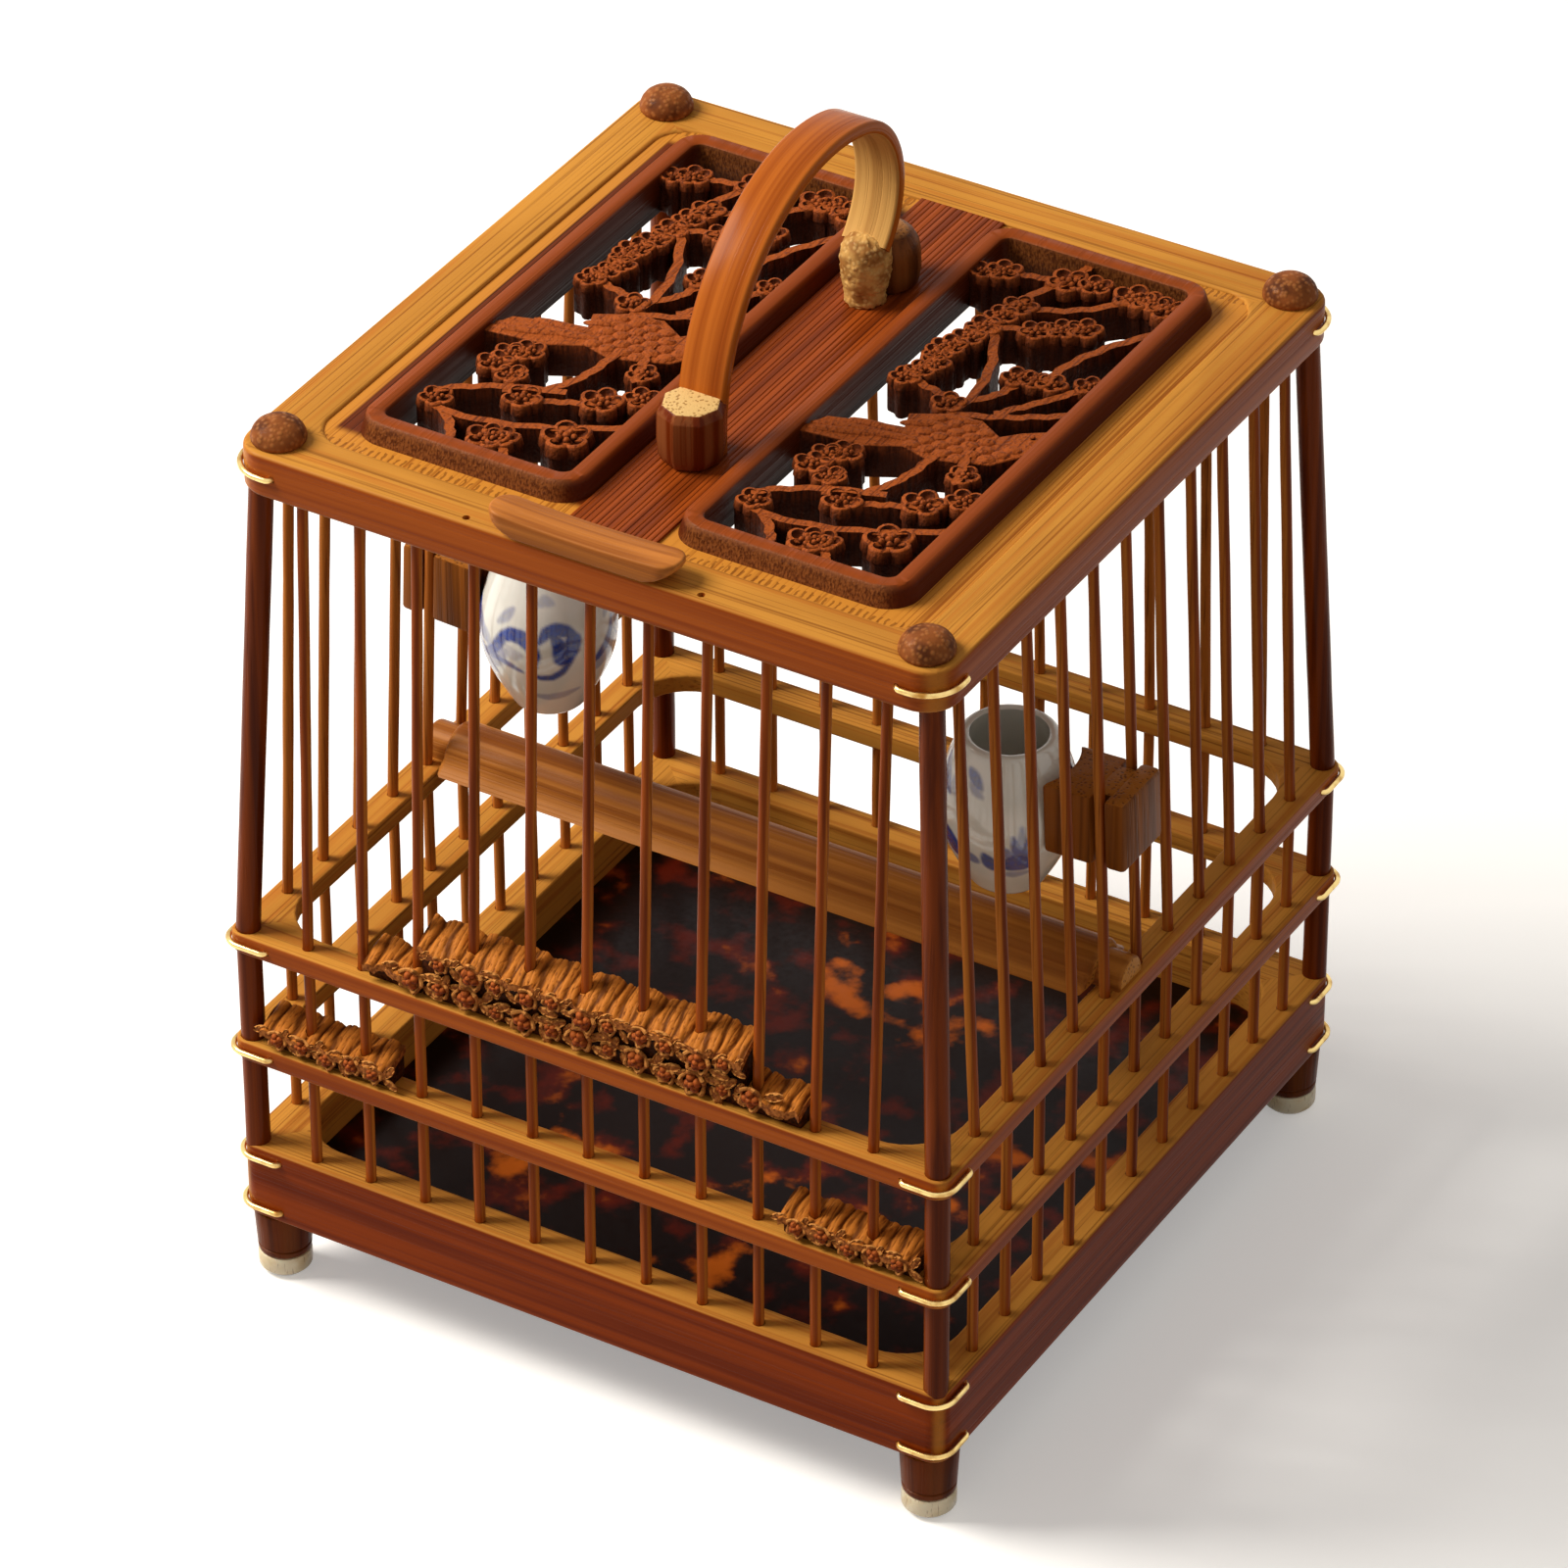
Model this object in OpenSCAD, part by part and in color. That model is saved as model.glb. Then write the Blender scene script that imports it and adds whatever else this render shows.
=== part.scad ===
// Square bamboo cricket cage with a lifting front door, carved lid panels and two sliding feed cups.
// The front faces -Y, the cage stands on z = 0 and its middle is x = y = 0. All sizes are in millimetres.

/* [Plan] */
// Distance between the corner posts, from the base up to the middle ring
post_pitch = 100; // [90:1:120]
// Distance between the corner posts where they enter the top frame
top_pitch = 94; // [88:1:100]

/* [Heights] */
// Height of the legs, bone tips included
leg_h = 10; // [8:0.5:16]
// Height of the base rails
base_h = 10.9; // [9:0.1:16]
// From the top of the base rails to the top of the lower ring
lower_rise = 16.7; // [12:0.1:24]
// From the top of the lower ring to the top of the middle ring
middle_rise = 16.8; // [12:0.1:24]
// From the top of the middle ring to the top of the frame
upper_rise = 72; // [66:0.5:90]

/* [Posts and bars] */
// Diameter of a corner post
post_d = 3.2; // [2.8:0.1:3.4]
// Diameter of a bar
bar_d = 1.4; // [1.2:0.1:2]
// Distance between neighbouring bars
bar_pitch = 8.2; // [7.6:0.1:8.3]
// How deep the bars stand in the base rails and the top frame
bar_seat = 2.5; // [2:0.1:3]
// How deep the tenons of the posts stand in the base corners
post_seat = 4; // [3:0.1:5]
// Diameter of the tenon at the foot of a post
post_tenon_d = 2; // [1.6:0.1:2.1]

/* [Rails] */
// Height of the lower and middle rings
ring_h = 2.8; // [2:0.1:4]
// Width of the lower and middle rings
ring_w = 4.2; // [4:0.1:5]
// Width of the base rails
base_w = 4.8; // [4.6:0.1:6]
// How far the base rails stand out beyond the post axes
base_out = 1.8; // [1.8:0.1:3]
// Rounding of the base's outer corners
base_corner_r = 2.4; // [2:0.1:3.5]
// Rounding of the inner corners of the base and the rings
inner_corner_r = 8; // [6:0.5:8.5]
// Height of the top frame
top_h = 6; // [5.6:0.1:8]
// Width of the top frame's rails
top_w = 7; // [6.5:0.1:8]
// How far the top frame stands out beyond the post axes
top_out = 2.7; // [2.7:0.1:4]
// Rounding of the top frame's outer corners
top_corner_r = 4.4; // [3.8:0.1:4.6]
// Rounding of the top frame's inner corners
top_inner_r = 5; // [3:0.5:8]

/* [Floor, legs and finials] */
// Thickness of the floor board
floor_t = 2; // [1.5:0.1:3]
// Height of the floor board above the underside of the base rails
floor_lift = 2; // [1.5:0.1:3]
// How deep the floor board sits in the base rails
floor_seat = 1.1; // [0.8:0.1:1.4]
// Diameter of a leg at its top
leg_d = 7.7; // [6.5:0.1:8]
// Diameter of a leg at its bone tip
leg_tip_d = 7; // [5:0.1:7.5]
// Distance from a post axis in to the leg axis, along each side
leg_inset = 2; // [1.6:0.1:3]
// Diameter of the tenon on top of a leg
leg_tenon_d = 3; // [2:0.1:3.2]
// Height of the tenon on top of a leg
leg_tenon_h = 3.5; // [2.5:0.1:4]
// Height of a bone tip
tip_h = 3.2; // [2:0.1:4]
// Height of the slanted edge round a bone tip
tip_bevel = 0.8; // [0.3:0.1:1.2]
// Diameter of the peg between a leg and its bone tip
tip_peg_d = 2.4; // [1.6:0.1:3]
// Length of the peg between a leg and its bone tip
tip_peg_h = 2; // [1:0.1:3]
// Diameter of a finial
finial_d = 7; // [5:0.1:7.6]
// Height of a finial above the top frame
finial_h = 3; // [2:0.1:3.4]
// Diameter of a finial's peg
finial_peg_d = 2.2; // [1.6:0.1:3]
// Length of a finial's peg
finial_peg_h = 2; // [1.5:0.1:2.2]

/* [Binding wires] */
// Diameter of the brass wire
wire_d = 0.8; // [0.5:0.1:0.9]
// Distance from a rail's outer face to the wire's end, along the next rail
wire_reach = 6; // [5.8:0.1:6.4]
// How deep a wire's end goes into a rail
wire_seat = 2.2; // [1.5:0.1:2.4]
// Distance of the base wires from the base's upper and lower edges
base_wire_inset = 1.5; // [1:0.1:1.6]

/* [Lid] */
// Width of the bar between the two carved panels
centre_bar_w = 12; // [10:0.5:14]
// Thickness of the lid boards
board_t = 3; // [2.8:0.1:3.4]
// How far the lid boards lie below the top of the frame
board_drop = 0.4; // [0.2:0.1:0.6]
// Thickness of the tongue round the lid boards
tongue_t = 1.6; // [1.2:0.1:1.8]
// How deep the tongue sits in its groove
tongue_seat = 0.9; // [0.6:0.1:1.2]
// Height of the tongue above the underside of the lid boards
tongue_lift = 0.1; // [0:0.1:0.4]
// Height of the raised border above the lid board
border_h = 2.7; // [1.5:0.1:4]
// Width of the raised border
border_w = 2.4; // [1.6:0.1:3]
// Rounding of the raised border's outer corners
border_r = 3.6; // [3:0.1:5]
// Board left flat between the raised border and the frame, at the sides
ledge_side = 4.6; // [3:0.1:6]
// Board left flat between the raised border and the frame, at the front and back
ledge_end = 3.4; // [2:0.1:5]
// Board left flat between the raised border and the centre bar
ledge_mid = 1; // [0.6:0.1:2]
// How far the carving lies below the top of the border
carving_drop = 0.7; // [0.3:0.1:1.5]
// Radius of a large carved blossom
blossom_r = 3.2; // [2.6:0.1:3.6]
// Width of a carved branch
branch_w = 1.3; // [1:0.1:1.8]

/* [Handle] */
// Distance from the cage's middle to the handle's front foot
foot_half = 21; // [19:0.5:23]
// Radius of the handle's long front bow, to the middle of the strap
arch_r = 26.5; // [24:0.5:29]
// Radius of its short rear bow, to the middle of the strap
arch_rear_r = 12; // [10.5:0.5:13.5]
// Height of the front bow's centre above the top of the frame
arch_lift = 2.6; // [1:0.1:6]
// Angle behind the upright at which the two bows meet
arch_skew = 17; // [14:1:20]
// Angle below the level to which the rear bow turns in
arch_tuck = 45; // [35:1:55]
// How much thicker and wider the strap is at its front foot and in its rear bow
strap_swell = 0.4; // [0.3:0.1:0.8]
// Diameter of the bulb at the strap's rear foot
bulb_d = 6.6; // [5.6:0.1:7.4]
// Diameter of the rear foot under the bulb
bulb_foot_d = 5.4; // [4.6:0.1:5.6]
// Height over which the bulb closes round the strap
bulb_cap = 2.6; // [2:0.1:3]
// Thickness of the handle's strap
strap_t = 1.8; // [1.4:0.1:2.6]
// Width of the handle's strap
strap_w = 6.4; // [5:0.1:7.5]
// Diameter of a knob at the foot of the handle
knob_d = 8.8; // [7:0.1:9.6]
// Height of a knob
knob_h = 8; // [6:0.1:10]
// Height of the slanted edge round a knob's top
knob_bevel = 1.2; // [0.5:0.1:2]
// Distance from the strap's front foot out to the front knob's axis
knob_out = 2.4; // [1.5:0.1:3]
// Distance from the bulb's axis out to the rear knob's axis
knob_rear_out = 5.2; // [4.4:0.1:6]
// Diameter of the pegs that hold the handle
handle_peg_d = 3; // [2:0.1:4]
// How deep a peg goes into its knob
handle_peg_seat = 4; // [2:0.1:5]

/* [Door] */
// Length of the door's pull
pull_l = 26.5; // [24:0.5:30]
// Length of the flat under the pull that rests on the frame
pull_rest_l = 18; // [17.8:0.1:20]
// Width of the pull
pull_w = 5; // [4.6:0.1:5.6]
// Height of the pull
pull_h = 3.2; // [2.8:0.1:5]
// Thickness of the pull's tips
pull_tip_t = 0.9; // [0.6:0.1:1.4]
// Distance from the door bars out to the middle of the pull
pull_out = 0.8; // [0.2:0.1:1]
// How deep the door bars stand in the pull
pull_seat = 2; // [1.5:0.1:2.2]
// Diameter of the small holes beside the pull
pin_hole_d = 1; // [0.6:0.1:1.4]
// Depth of the small holes beside the pull
pin_hole_depth = 2; // [1:0.1:3]
// Distance of the small holes from the frame's outer face
pin_hole_inset = 1.2; // [1:0.1:2]

/* [Carved crests] */
// Length of the crest on the middle ring
crest_l = 63; // [59:0.5:66]
// Length of its tall middle step
crest_mid_l = 47; // [44:0.5:48]
// Height of its tall middle step
crest_mid_h = 10.5; // [7:0.1:13]
// Height of its end steps
crest_end_h = 4.6; // [3:0.1:6]
// Depth of the crests, front to back
crest_depth = 4.8; // [4.2:0.1:5]
// Distance between the ridges along the crests' tops
ridge_pitch = 3.2; // [2.4:0.1:4]
// Length of a small crest on the lower ring
corner_crest_l = 19; // [17:0.5:19.4]
// Height of a small crest on the lower ring
corner_crest_h = 5; // [4:0.1:8]
// Distance from the post axis to the near end of a small crest
corner_crest_gap = 2.4; // [2:0.1:3]
// How far the carved blossoms stand out from the crests
blossom_relief = 0.5; // [0.2:0.1:0.6]
// Radius of a blossom on the crests
crest_blossom_r = 1.7; // [1.2:0.1:2]
// Blossoms in the lower row of the crest on the middle ring
crest_low_blossoms = 13; // [9:1:16]
// Blossoms in its upper row
crest_high_blossoms = 9; // [7:1:12]
// Blossoms on a small crest
corner_blossoms = 5; // [3:1:5]

/* [Perch] */
// Width of the perch
perch_w = 8.4; // [7:0.1:10]
// Height of the perch
perch_h = 4.5; // [3.5:0.1:5]
// Width of the perch's ends, between the bars
perch_end_w = 5.6; // [4:0.1:5.8]
// Height of the perch's ends
perch_end_h = 3.6; // [2.6:0.1:3.6]
// How far the perch's ends stand out beyond the post axes
perch_out = 1.5; // [0.5:0.1:2]

/* [Feeders] */
// Largest diameter of a feed cup
cup_d = 17.8; // [16:0.1:19]
// Diameter of a feed cup's mouth
cup_mouth_d = 12.2; // [11.6:0.1:13.5]
// Diameter of a feed cup's foot
cup_foot_d = 9.3; // [8:0.1:11]
// Height of a feed cup
cup_h = 21.6; // [20:0.1:24]
// Height of a feed cup's widest place above its foot
cup_belly_h = 11.5; // [10.5:0.1:13]
// Wall of a feed cup
cup_wall = 1.2; // [0.8:0.1:1.6]
// Distance from the bars in to a feed cup's axis
cup_reach = 15.2; // [14.4:0.1:17]
// Height of the right feed cup's foot above the middle ring
cup_right_lift = 10.3; // [8:0.1:24]
// Height of the left feed cup's foot above the middle ring
cup_left_lift = 14; // [8:0.1:24]
// Width of a cup's wooden holder, along the bars' row
holder_w = 10; // [9:0.1:11]
// Height of a cup's wooden holder
holder_h = 10; // [6:0.1:12]
// Thickness of the holder's flange outside the bars
flange_t = 2.8; // [2:0.1:3.2]
// Height of the holder's middle above the cup's widest place
holder_lift = 3; // [1:0.1:4]
// How far the holder reaches round the cup's side
holder_lip = 1.4; // [0.6:0.1:2]

/* [Fits] */
// Gap round a bar, post, peg or tongue in its hole or groove
fit_gap = 0.05; // [0.03:0.01:0.1]
// Gap round a door bar in its guide hole
run_gap = 0.1; // [0.06:0.01:0.15]
// Gap between a feeder's holder and the bars it slides on
slide_gap = 0.2; // [0.1:0.05:0.3]
// Gap between the door bars' lower ends and the middle ring
door_end_gap = 0.3; // [0.2:0.05:0.5]

/* [Hidden] */
$fn = 48;
eps = 0.01;
// How much a ball at a bend is thicker than the rod that it joins, on the diameter
bend_swell = 0.04;
// Steps along a curved outline
curve_steps = 8;
// Depth of the notches between a blossom's petals, as a share of its mean radius
petal_notch = 0.14;
// Share of its width that a carved branch loses towards its end
branch_taper = 0.3;
// Radius of a crest's ridges as a share of their distance, so that neighbours merge
ridge_share = 0.56;
// Angle by which the handle's front bow runs on inside the rear one
strap_lap = 4;

post_half = post_pitch / 2;
base_z = leg_h;
base_top = base_z + base_h;
lower_top = base_top + lower_rise;
middle_top = lower_top + middle_rise;
frame_top = middle_top + upper_rise;
frame_z = frame_top - top_h;
lean = atan((post_pitch - top_pitch) / 2 / (frame_z - middle_top));
post_tilt = atan(sqrt(2) * tan(lean));

ring_outer = post_half + ring_w / 2;
ring_inner = post_half - ring_w / 2;
base_outer = post_half + base_out;
base_inner = base_outer - base_w;
frame_outer = top_pitch / 2 + top_out;
frame_inner = frame_outer - top_w;
leg_half = post_half - leg_inset;
finial_half = frame_outer - top_corner_r;

floor_z = base_z + floor_lift;
floor_half = base_inner + floor_seat;
bar_hole_d = bar_d + 2 * fit_gap;
door_hole_d = bar_d + 2 * run_gap;
post_hole_d = post_d + 2 * fit_gap;
tenon_hole_d = post_tenon_d + 2 * fit_gap;
wire_hole_d = wire_d + 2 * fit_gap;
// Bars on each half of a face: as many as stand a bar's width clear of the wires' ends in the base
// and of the posts where they enter the top frame
bar_row_half = min(base_outer - wire_reach - wire_d / 2, (top_pitch - post_d) / 2) - bar_d;
bars_each_way = floor((bar_row_half - bar_d / 2) / bar_pitch);
// Bars on each side of the door's middle bar: as many as stand in the flat of the pull
door_bars_each_way = floor((pull_rest_l - bar_d + eps) / 2 / bar_pitch);

board_top = frame_top - board_drop;
board_z = board_top - board_t;
tongue_z = board_z + tongue_lift;
border_top = board_top + border_h;
board_half = frame_inner - fit_gap;
tongue_half = frame_inner + tongue_seat;
centre_bar_half = centre_bar_w / 2;
border_x_near = centre_bar_half + ledge_mid;
border_x_far = frame_inner - ledge_side;
border_mid_x = (border_x_near + border_x_far) / 2;
border_half_x = (border_x_far - border_x_near) / 2;
border_half_y = frame_inner - ledge_end;
carving_half_x = border_half_x - border_w;
carving_half_y = border_half_y - border_w;

bow_y = arch_r - foot_half;
foot_lap = asin(arch_lift / arch_r) / 2;
rear_bow_y = bow_y + (arch_r - arch_rear_r) * sin(arch_skew);
rear_bow_z = arch_lift + (arch_r - arch_rear_r) * cos(arch_skew);
bulb_y = rear_bow_y + arch_rear_r * cos(arch_tuck);
bulb_z = rear_bow_z - arch_rear_r * sin(arch_tuck) - bulb_cap / 3;
knob_places = [-foot_half - knob_out, bulb_y + knob_rear_out];

pull_y = -post_half + (frame_top - middle_top) * tan(lean) - pull_out;
crest_front = -(ring_outer + fit_gap);
gap_x = bar_pitch / 2;
neck_w = bar_pitch - bar_d - 2 * slide_gap;
rod_gap = bar_d / 2 + slide_gap;

flesh = [0.80, 0.53, 0.22];
skin = [0.52, 0.20, 0.07];
bar_brown = [0.50, 0.22, 0.08];
carved_red = [0.42, 0.17, 0.09];
crest_brown = [0.58, 0.33, 0.13];
brass = [0.83, 0.66, 0.33];
bone = [0.88, 0.86, 0.76];
porcelain = [0.90, 0.91, 0.88];
shell = [0.20, 0.07, 0.03];

SIDES = ["front", "right", "back", "left"];

// Turns what is drawn for the front, or for the front right corner, to another side
module on_side(side) {
    rotate([0, 0, 90 * search([side], SIDES)[0]]) children();
}

// Rectangle with round corners, given half its sides
module round_rect(half_x, half_y, r) {
    square([2 * half_x, 2 * (half_y - r)], center = true);
    square([2 * (half_x - r), 2 * half_y], center = true);
    for (x = [-1, 1], y = [-1, 1])
        translate([x * (half_x - r), y * (half_y - r)]) circle(r);
}

// Square with round corners, given half its width
module round_square(half, r) {
    round_rect(half, half, r);
}

// Front quarter of a square ring, mitred at both ends
module rail_plan(outer, outer_r, inner, inner_r) {
    intersection() {
        difference() {
            round_square(outer, outer_r);
            round_square(inner, inner_r);
        }
        polygon([[0, 0], [-2 * outer, -2 * outer], [2 * outer, -2 * outer]]);
    }
}

// Upright rod in the front face
module upright_rod(x, d, z_from, z_to) {
    translate([x, -post_half, z_from]) cylinder(d = d, h = z_to - z_from);
}

// Rod in the front face that leans in above the middle ring
module leaned_rod(x, d, z_from, z_to) {
    translate([x, -post_half, middle_top])
        rotate([-lean, 0, 0])
            translate([0, 0, (z_from - middle_top) / cos(lean)])
                cylinder(d = d, h = (z_to - z_from) / cos(lean));
}

// One bar of the front face, bent where it leaves the middle ring
module bent_bar(x) {
    upright_rod(x, bar_d, base_top - bar_seat, middle_top);
    translate([x, -post_half, middle_top]) sphere(d = bar_d + bend_swell);
    leaned_rod(x, bar_d, middle_top, frame_z + bar_seat);
}

// Bars of the front face from one number to another, counted from the middle
module bent_bars(first, last) {
    color(bar_brown)
        for (i = [first : last]) bent_bar(i * bar_pitch);
}

// Rod that follows the front right corner post above the middle ring
module leaned_post_rod(d, z_from, z_to) {
    translate([post_half, -post_half, middle_top])
        rotate([0, post_tilt, 135])
            translate([0, 0, (z_from - middle_top) / cos(post_tilt)])
                cylinder(d = d, h = (z_to - z_from) / cos(post_tilt));
}

// Front right corner post with a tenon at its foot, bent where it leaves the middle ring
module corner_post() {
    color(bar_brown) {
        translate([post_half, -post_half, base_top - post_seat])
            cylinder(d = post_tenon_d, h = post_seat + eps);
        translate([post_half, -post_half, base_top])
            cylinder(d = post_d, h = middle_top - base_top);
        translate([post_half, -post_half, middle_top]) sphere(d = post_d + bend_swell);
        leaned_post_rod(post_d, middle_top, frame_z + bar_seat);
    }
}

// Upright holes through a front rail for the posts at its ends
module post_holes(d, z_from, z_to) {
    for (x = [-post_half, post_half]) upright_rod(x, d, z_from, z_to);
}

// Upright holes through a front rail for its row of bars
module bar_holes(z_from, z_to) {
    for (i = [-bars_each_way : bars_each_way])
        upright_rod(i * bar_pitch, bar_hole_d, z_from, z_to);
}

// Holes in a front rail's outer face for the ends of the binding wires
module wire_holes(outer, z) {
    for (x = [-1, 1])
        translate([x * (outer - wire_reach), -outer - eps, z])
            rotate([-90, 0, 0]) cylinder(d = wire_hole_d, h = wire_seat + fit_gap + eps);
}

// Half of a binding wire: its run along the front rail and its end in that rail
module wire_half(outer, corner_r) {
    run_y = -(outer + wire_d / 2 + fit_gap);
    end_x = outer - wire_reach;
    translate([end_x, run_y, 0]) {
        rotate([0, 90, 0]) cylinder(d = wire_d, h = wire_reach - corner_r);
        sphere(d = wire_d + bend_swell);
        rotate([-90, 0, 0]) cylinder(d = wire_d, h = wire_d / 2 + fit_gap + wire_seat);
    }
}

// Binding wire bent round the front right corner of a frame
module corner_wire(outer, corner_r, z) {
    bend_x = outer - corner_r;
    translate([0, 0, z]) {
        translate([bend_x, -bend_x, 0])
            rotate([0, 0, -90])
                rotate_extrude(angle = 90)
                    translate([corner_r + wire_d / 2 + fit_gap, 0]) circle(d = wire_d);
        wire_half(outer, corner_r);
        mirror([1, 1, 0]) wire_half(outer, corner_r);
    }
}

// Four binding wires round one frame
module wire_set(outer, corner_r, z) {
    color(brass)
        for (side = SIDES)
            on_side(side) corner_wire(outer, corner_r, z);
}

module base_lower_wires() {
    wire_set(base_outer, base_corner_r, base_z + base_wire_inset);
}

module base_upper_wires() {
    wire_set(base_outer, base_corner_r, base_top - base_wire_inset);
}

module lower_wires() {
    wire_set(ring_outer, ring_w / 2, lower_top - ring_h / 2);
}

module middle_wires() {
    wire_set(ring_outer, ring_w / 2, middle_top - ring_h / 2);
}

module top_wires() {
    wire_set(frame_outer, top_corner_r, frame_z + top_h / 2);
}

// Floor board with round corners that clear the leg tenons
module floor_board() {
    color(shell)
        translate([0, 0, floor_z])
            linear_extrude(floor_t) round_square(floor_half, inner_corner_r + floor_seat);
}

// Front right leg with its tenon, bored from below for the bone tip
module leg() {
    color(skin)
        translate([leg_half, -leg_half, 0])
            difference() {
                union() {
                    translate([0, 0, tip_h])
                        cylinder(d1 = leg_tip_d, d2 = leg_d, h = leg_h - tip_h);
                    translate([0, 0, leg_h - eps])
                        cylinder(d = leg_tenon_d, h = leg_tenon_h + eps);
                }
                translate([0, 0, tip_h - eps])
                    cylinder(d = tip_peg_d + 2 * fit_gap, h = tip_peg_h + fit_gap + eps);
            }
}

// Four bone tips with the pegs that hold them in the legs
module foot_tips() {
    color(bone)
        for (side = SIDES)
            on_side(side)
                translate([leg_half, -leg_half, 0]) {
                    cylinder(d1 = leg_tip_d - 2 * tip_bevel, d2 = leg_tip_d, h = tip_bevel);
                    translate([0, 0, tip_bevel]) cylinder(d = leg_tip_d, h = tip_h - tip_bevel);
                    translate([0, 0, tip_h - eps]) cylinder(d = tip_peg_d, h = tip_peg_h + eps);
                }
}

// Front rail of the base, grooved for the floor board
module base_rail() {
    color(skin)
        difference() {
            translate([0, 0, base_z])
                linear_extrude(base_h)
                    rail_plan(base_outer, base_corner_r, base_inner, inner_corner_r);
            translate([0, 0, floor_z - fit_gap])
                linear_extrude(floor_t + 2 * fit_gap)
                    round_square(floor_half + fit_gap, inner_corner_r + floor_seat);
            bar_holes(base_top - bar_seat - fit_gap, base_top + eps);
            post_holes(tenon_hole_d, base_top - post_seat - fit_gap, base_top + eps);
            for (x = [-leg_half, leg_half])
                translate([x, -leg_half, base_z - eps])
                    cylinder(d = leg_tenon_d + 2 * fit_gap, h = leg_tenon_h + fit_gap + eps);
            wire_holes(base_outer, base_z + base_wire_inset);
            wire_holes(base_outer, base_top - base_wire_inset);
        }
}

// Front rail of a ring whose top is at the given height
module ring_rail(top) {
    color(flesh)
        difference() {
            translate([0, 0, top - ring_h])
                linear_extrude(ring_h)
                    rail_plan(ring_outer, ring_w / 2, ring_inner, inner_corner_r);
            bar_holes(top - ring_h - eps, top + eps);
            post_holes(post_hole_d, top - ring_h - eps, top + eps);
            wire_holes(ring_outer, top - ring_h / 2);
        }
}

// Front rail of the top frame before the holes for its bars are drilled
module frame_blank() {
    difference() {
        translate([0, 0, frame_z])
            linear_extrude(top_h)
                rail_plan(frame_outer, top_corner_r, frame_inner, top_inner_r);
        translate([0, 0, tongue_z - fit_gap])
            linear_extrude(tongue_t + 2 * fit_gap)
                round_square(tongue_half + fit_gap, top_inner_r + tongue_seat);
        wire_holes(frame_outer, frame_z + top_h / 2);
        for (side = ["front", "left"]) {
            on_side(side)
                leaned_post_rod(post_hole_d, frame_z - top_h, frame_z + bar_seat + fit_gap);
            on_side(side)
                translate([finial_half, -finial_half, frame_top - finial_peg_h - fit_gap])
                    cylinder(d = finial_peg_d + 2 * fit_gap, h = finial_peg_h + fit_gap + eps);
        }
    }
}

// Rail of the top frame with a blind hole for each bar
module top_rail() {
    color(flesh)
        difference() {
            frame_blank();
            for (i = [-bars_each_way : bars_each_way])
                leaned_rod(i * bar_pitch, bar_hole_d, frame_z - top_h,
                           frame_z + bar_seat + fit_gap);
        }
}

// Front rail of the top frame, with guide holes for the door bars
// and a small hole on each side of the pull
module top_rail_front() {
    color(flesh)
        difference() {
            frame_blank();
            for (i = [-bars_each_way : bars_each_way])
                if (abs(i) > door_bars_each_way)
                    leaned_rod(i * bar_pitch, bar_hole_d, frame_z - top_h,
                               frame_z + bar_seat + fit_gap);
                else
                    leaned_rod(i * bar_pitch, door_hole_d, frame_z - top_h, frame_top + top_h);
            for (x = [-1, 1])
                translate([x * (door_bars_each_way + 1) * bar_pitch, pin_hole_inset - frame_outer,
                           frame_top - pin_hole_depth])
                    cylinder(d = pin_hole_d, h = pin_hole_depth + eps);
        }
}

// Four domed finials, each with a peg down into the frame
module corner_finials() {
    dome_r = (pow(finial_d / 2, 2) + pow(finial_h, 2)) / (2 * finial_h);
    color(skin)
        for (side = SIDES)
            on_side(side)
                translate([finial_half, -finial_half, frame_top]) {
                    intersection() {
                        translate([0, 0, finial_h - dome_r]) sphere(dome_r);
                        cylinder(d = finial_d, h = finial_h + eps);
                    }
                    translate([0, 0, -finial_peg_h])
                        cylinder(d = finial_peg_d, h = finial_peg_h + eps);
                }
}

// Short bars under the door, from the base up to the middle ring
module sill_bars() {
    color(bar_brown)
        for (i = [-door_bars_each_way : door_bars_each_way])
            upright_rod(i * bar_pitch, bar_d, base_top - bar_seat, middle_top);
}

// Plan of the lid's right half, out to the given half width
module lid_half_plan(half, r, x_from) {
    intersection() {
        round_square(half, r);
        translate([x_from, -half]) square([half, 2 * half]);
    }
}

// Bar between the panels, grooved along both sides and tongued into the front and back rails
module centre_bar() {
    color(skin)
        difference() {
            union() {
                translate([-centre_bar_half, -board_half, board_z])
                    cube([centre_bar_w, 2 * board_half, frame_top - board_z]);
                translate([-centre_bar_half, -tongue_half, tongue_z])
                    cube([centre_bar_w, 2 * tongue_half, tongue_t]);
            }
            for (x = [-1, 1])
                translate([x * centre_bar_half, 0, tongue_z + tongue_t / 2])
                    cube([2 * (tongue_seat + fit_gap), 3 * tongue_half, tongue_t + 2 * fit_gap],
                         center = true);
            for (y = knob_places)
                translate([0, y, board_z - eps])
                    cylinder(d = handle_peg_d + 2 * fit_gap, h = frame_top - board_z + 2 * eps);
        }
}

// Place on the carving, from shares of its half width and half length
function carving_point(p) = [p[0] * carving_half_x, p[1] * carving_half_y];

// Point on a curve that leaves a towards b and ends at c
function curve_point(a, b, c, t) = (1 - t) * (1 - t) * a + 2 * t * (1 - t) * b + t * t * c;

// Outline of a five-petalled blossom
module blossom_plan(r) {
    polygon([
        for (a = [0 : 18 : 342])
            r * (1 + petal_notch * cos(5 * a)) / (1 + petal_notch) * [cos(a), sin(a)]
    ]);
}

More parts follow.
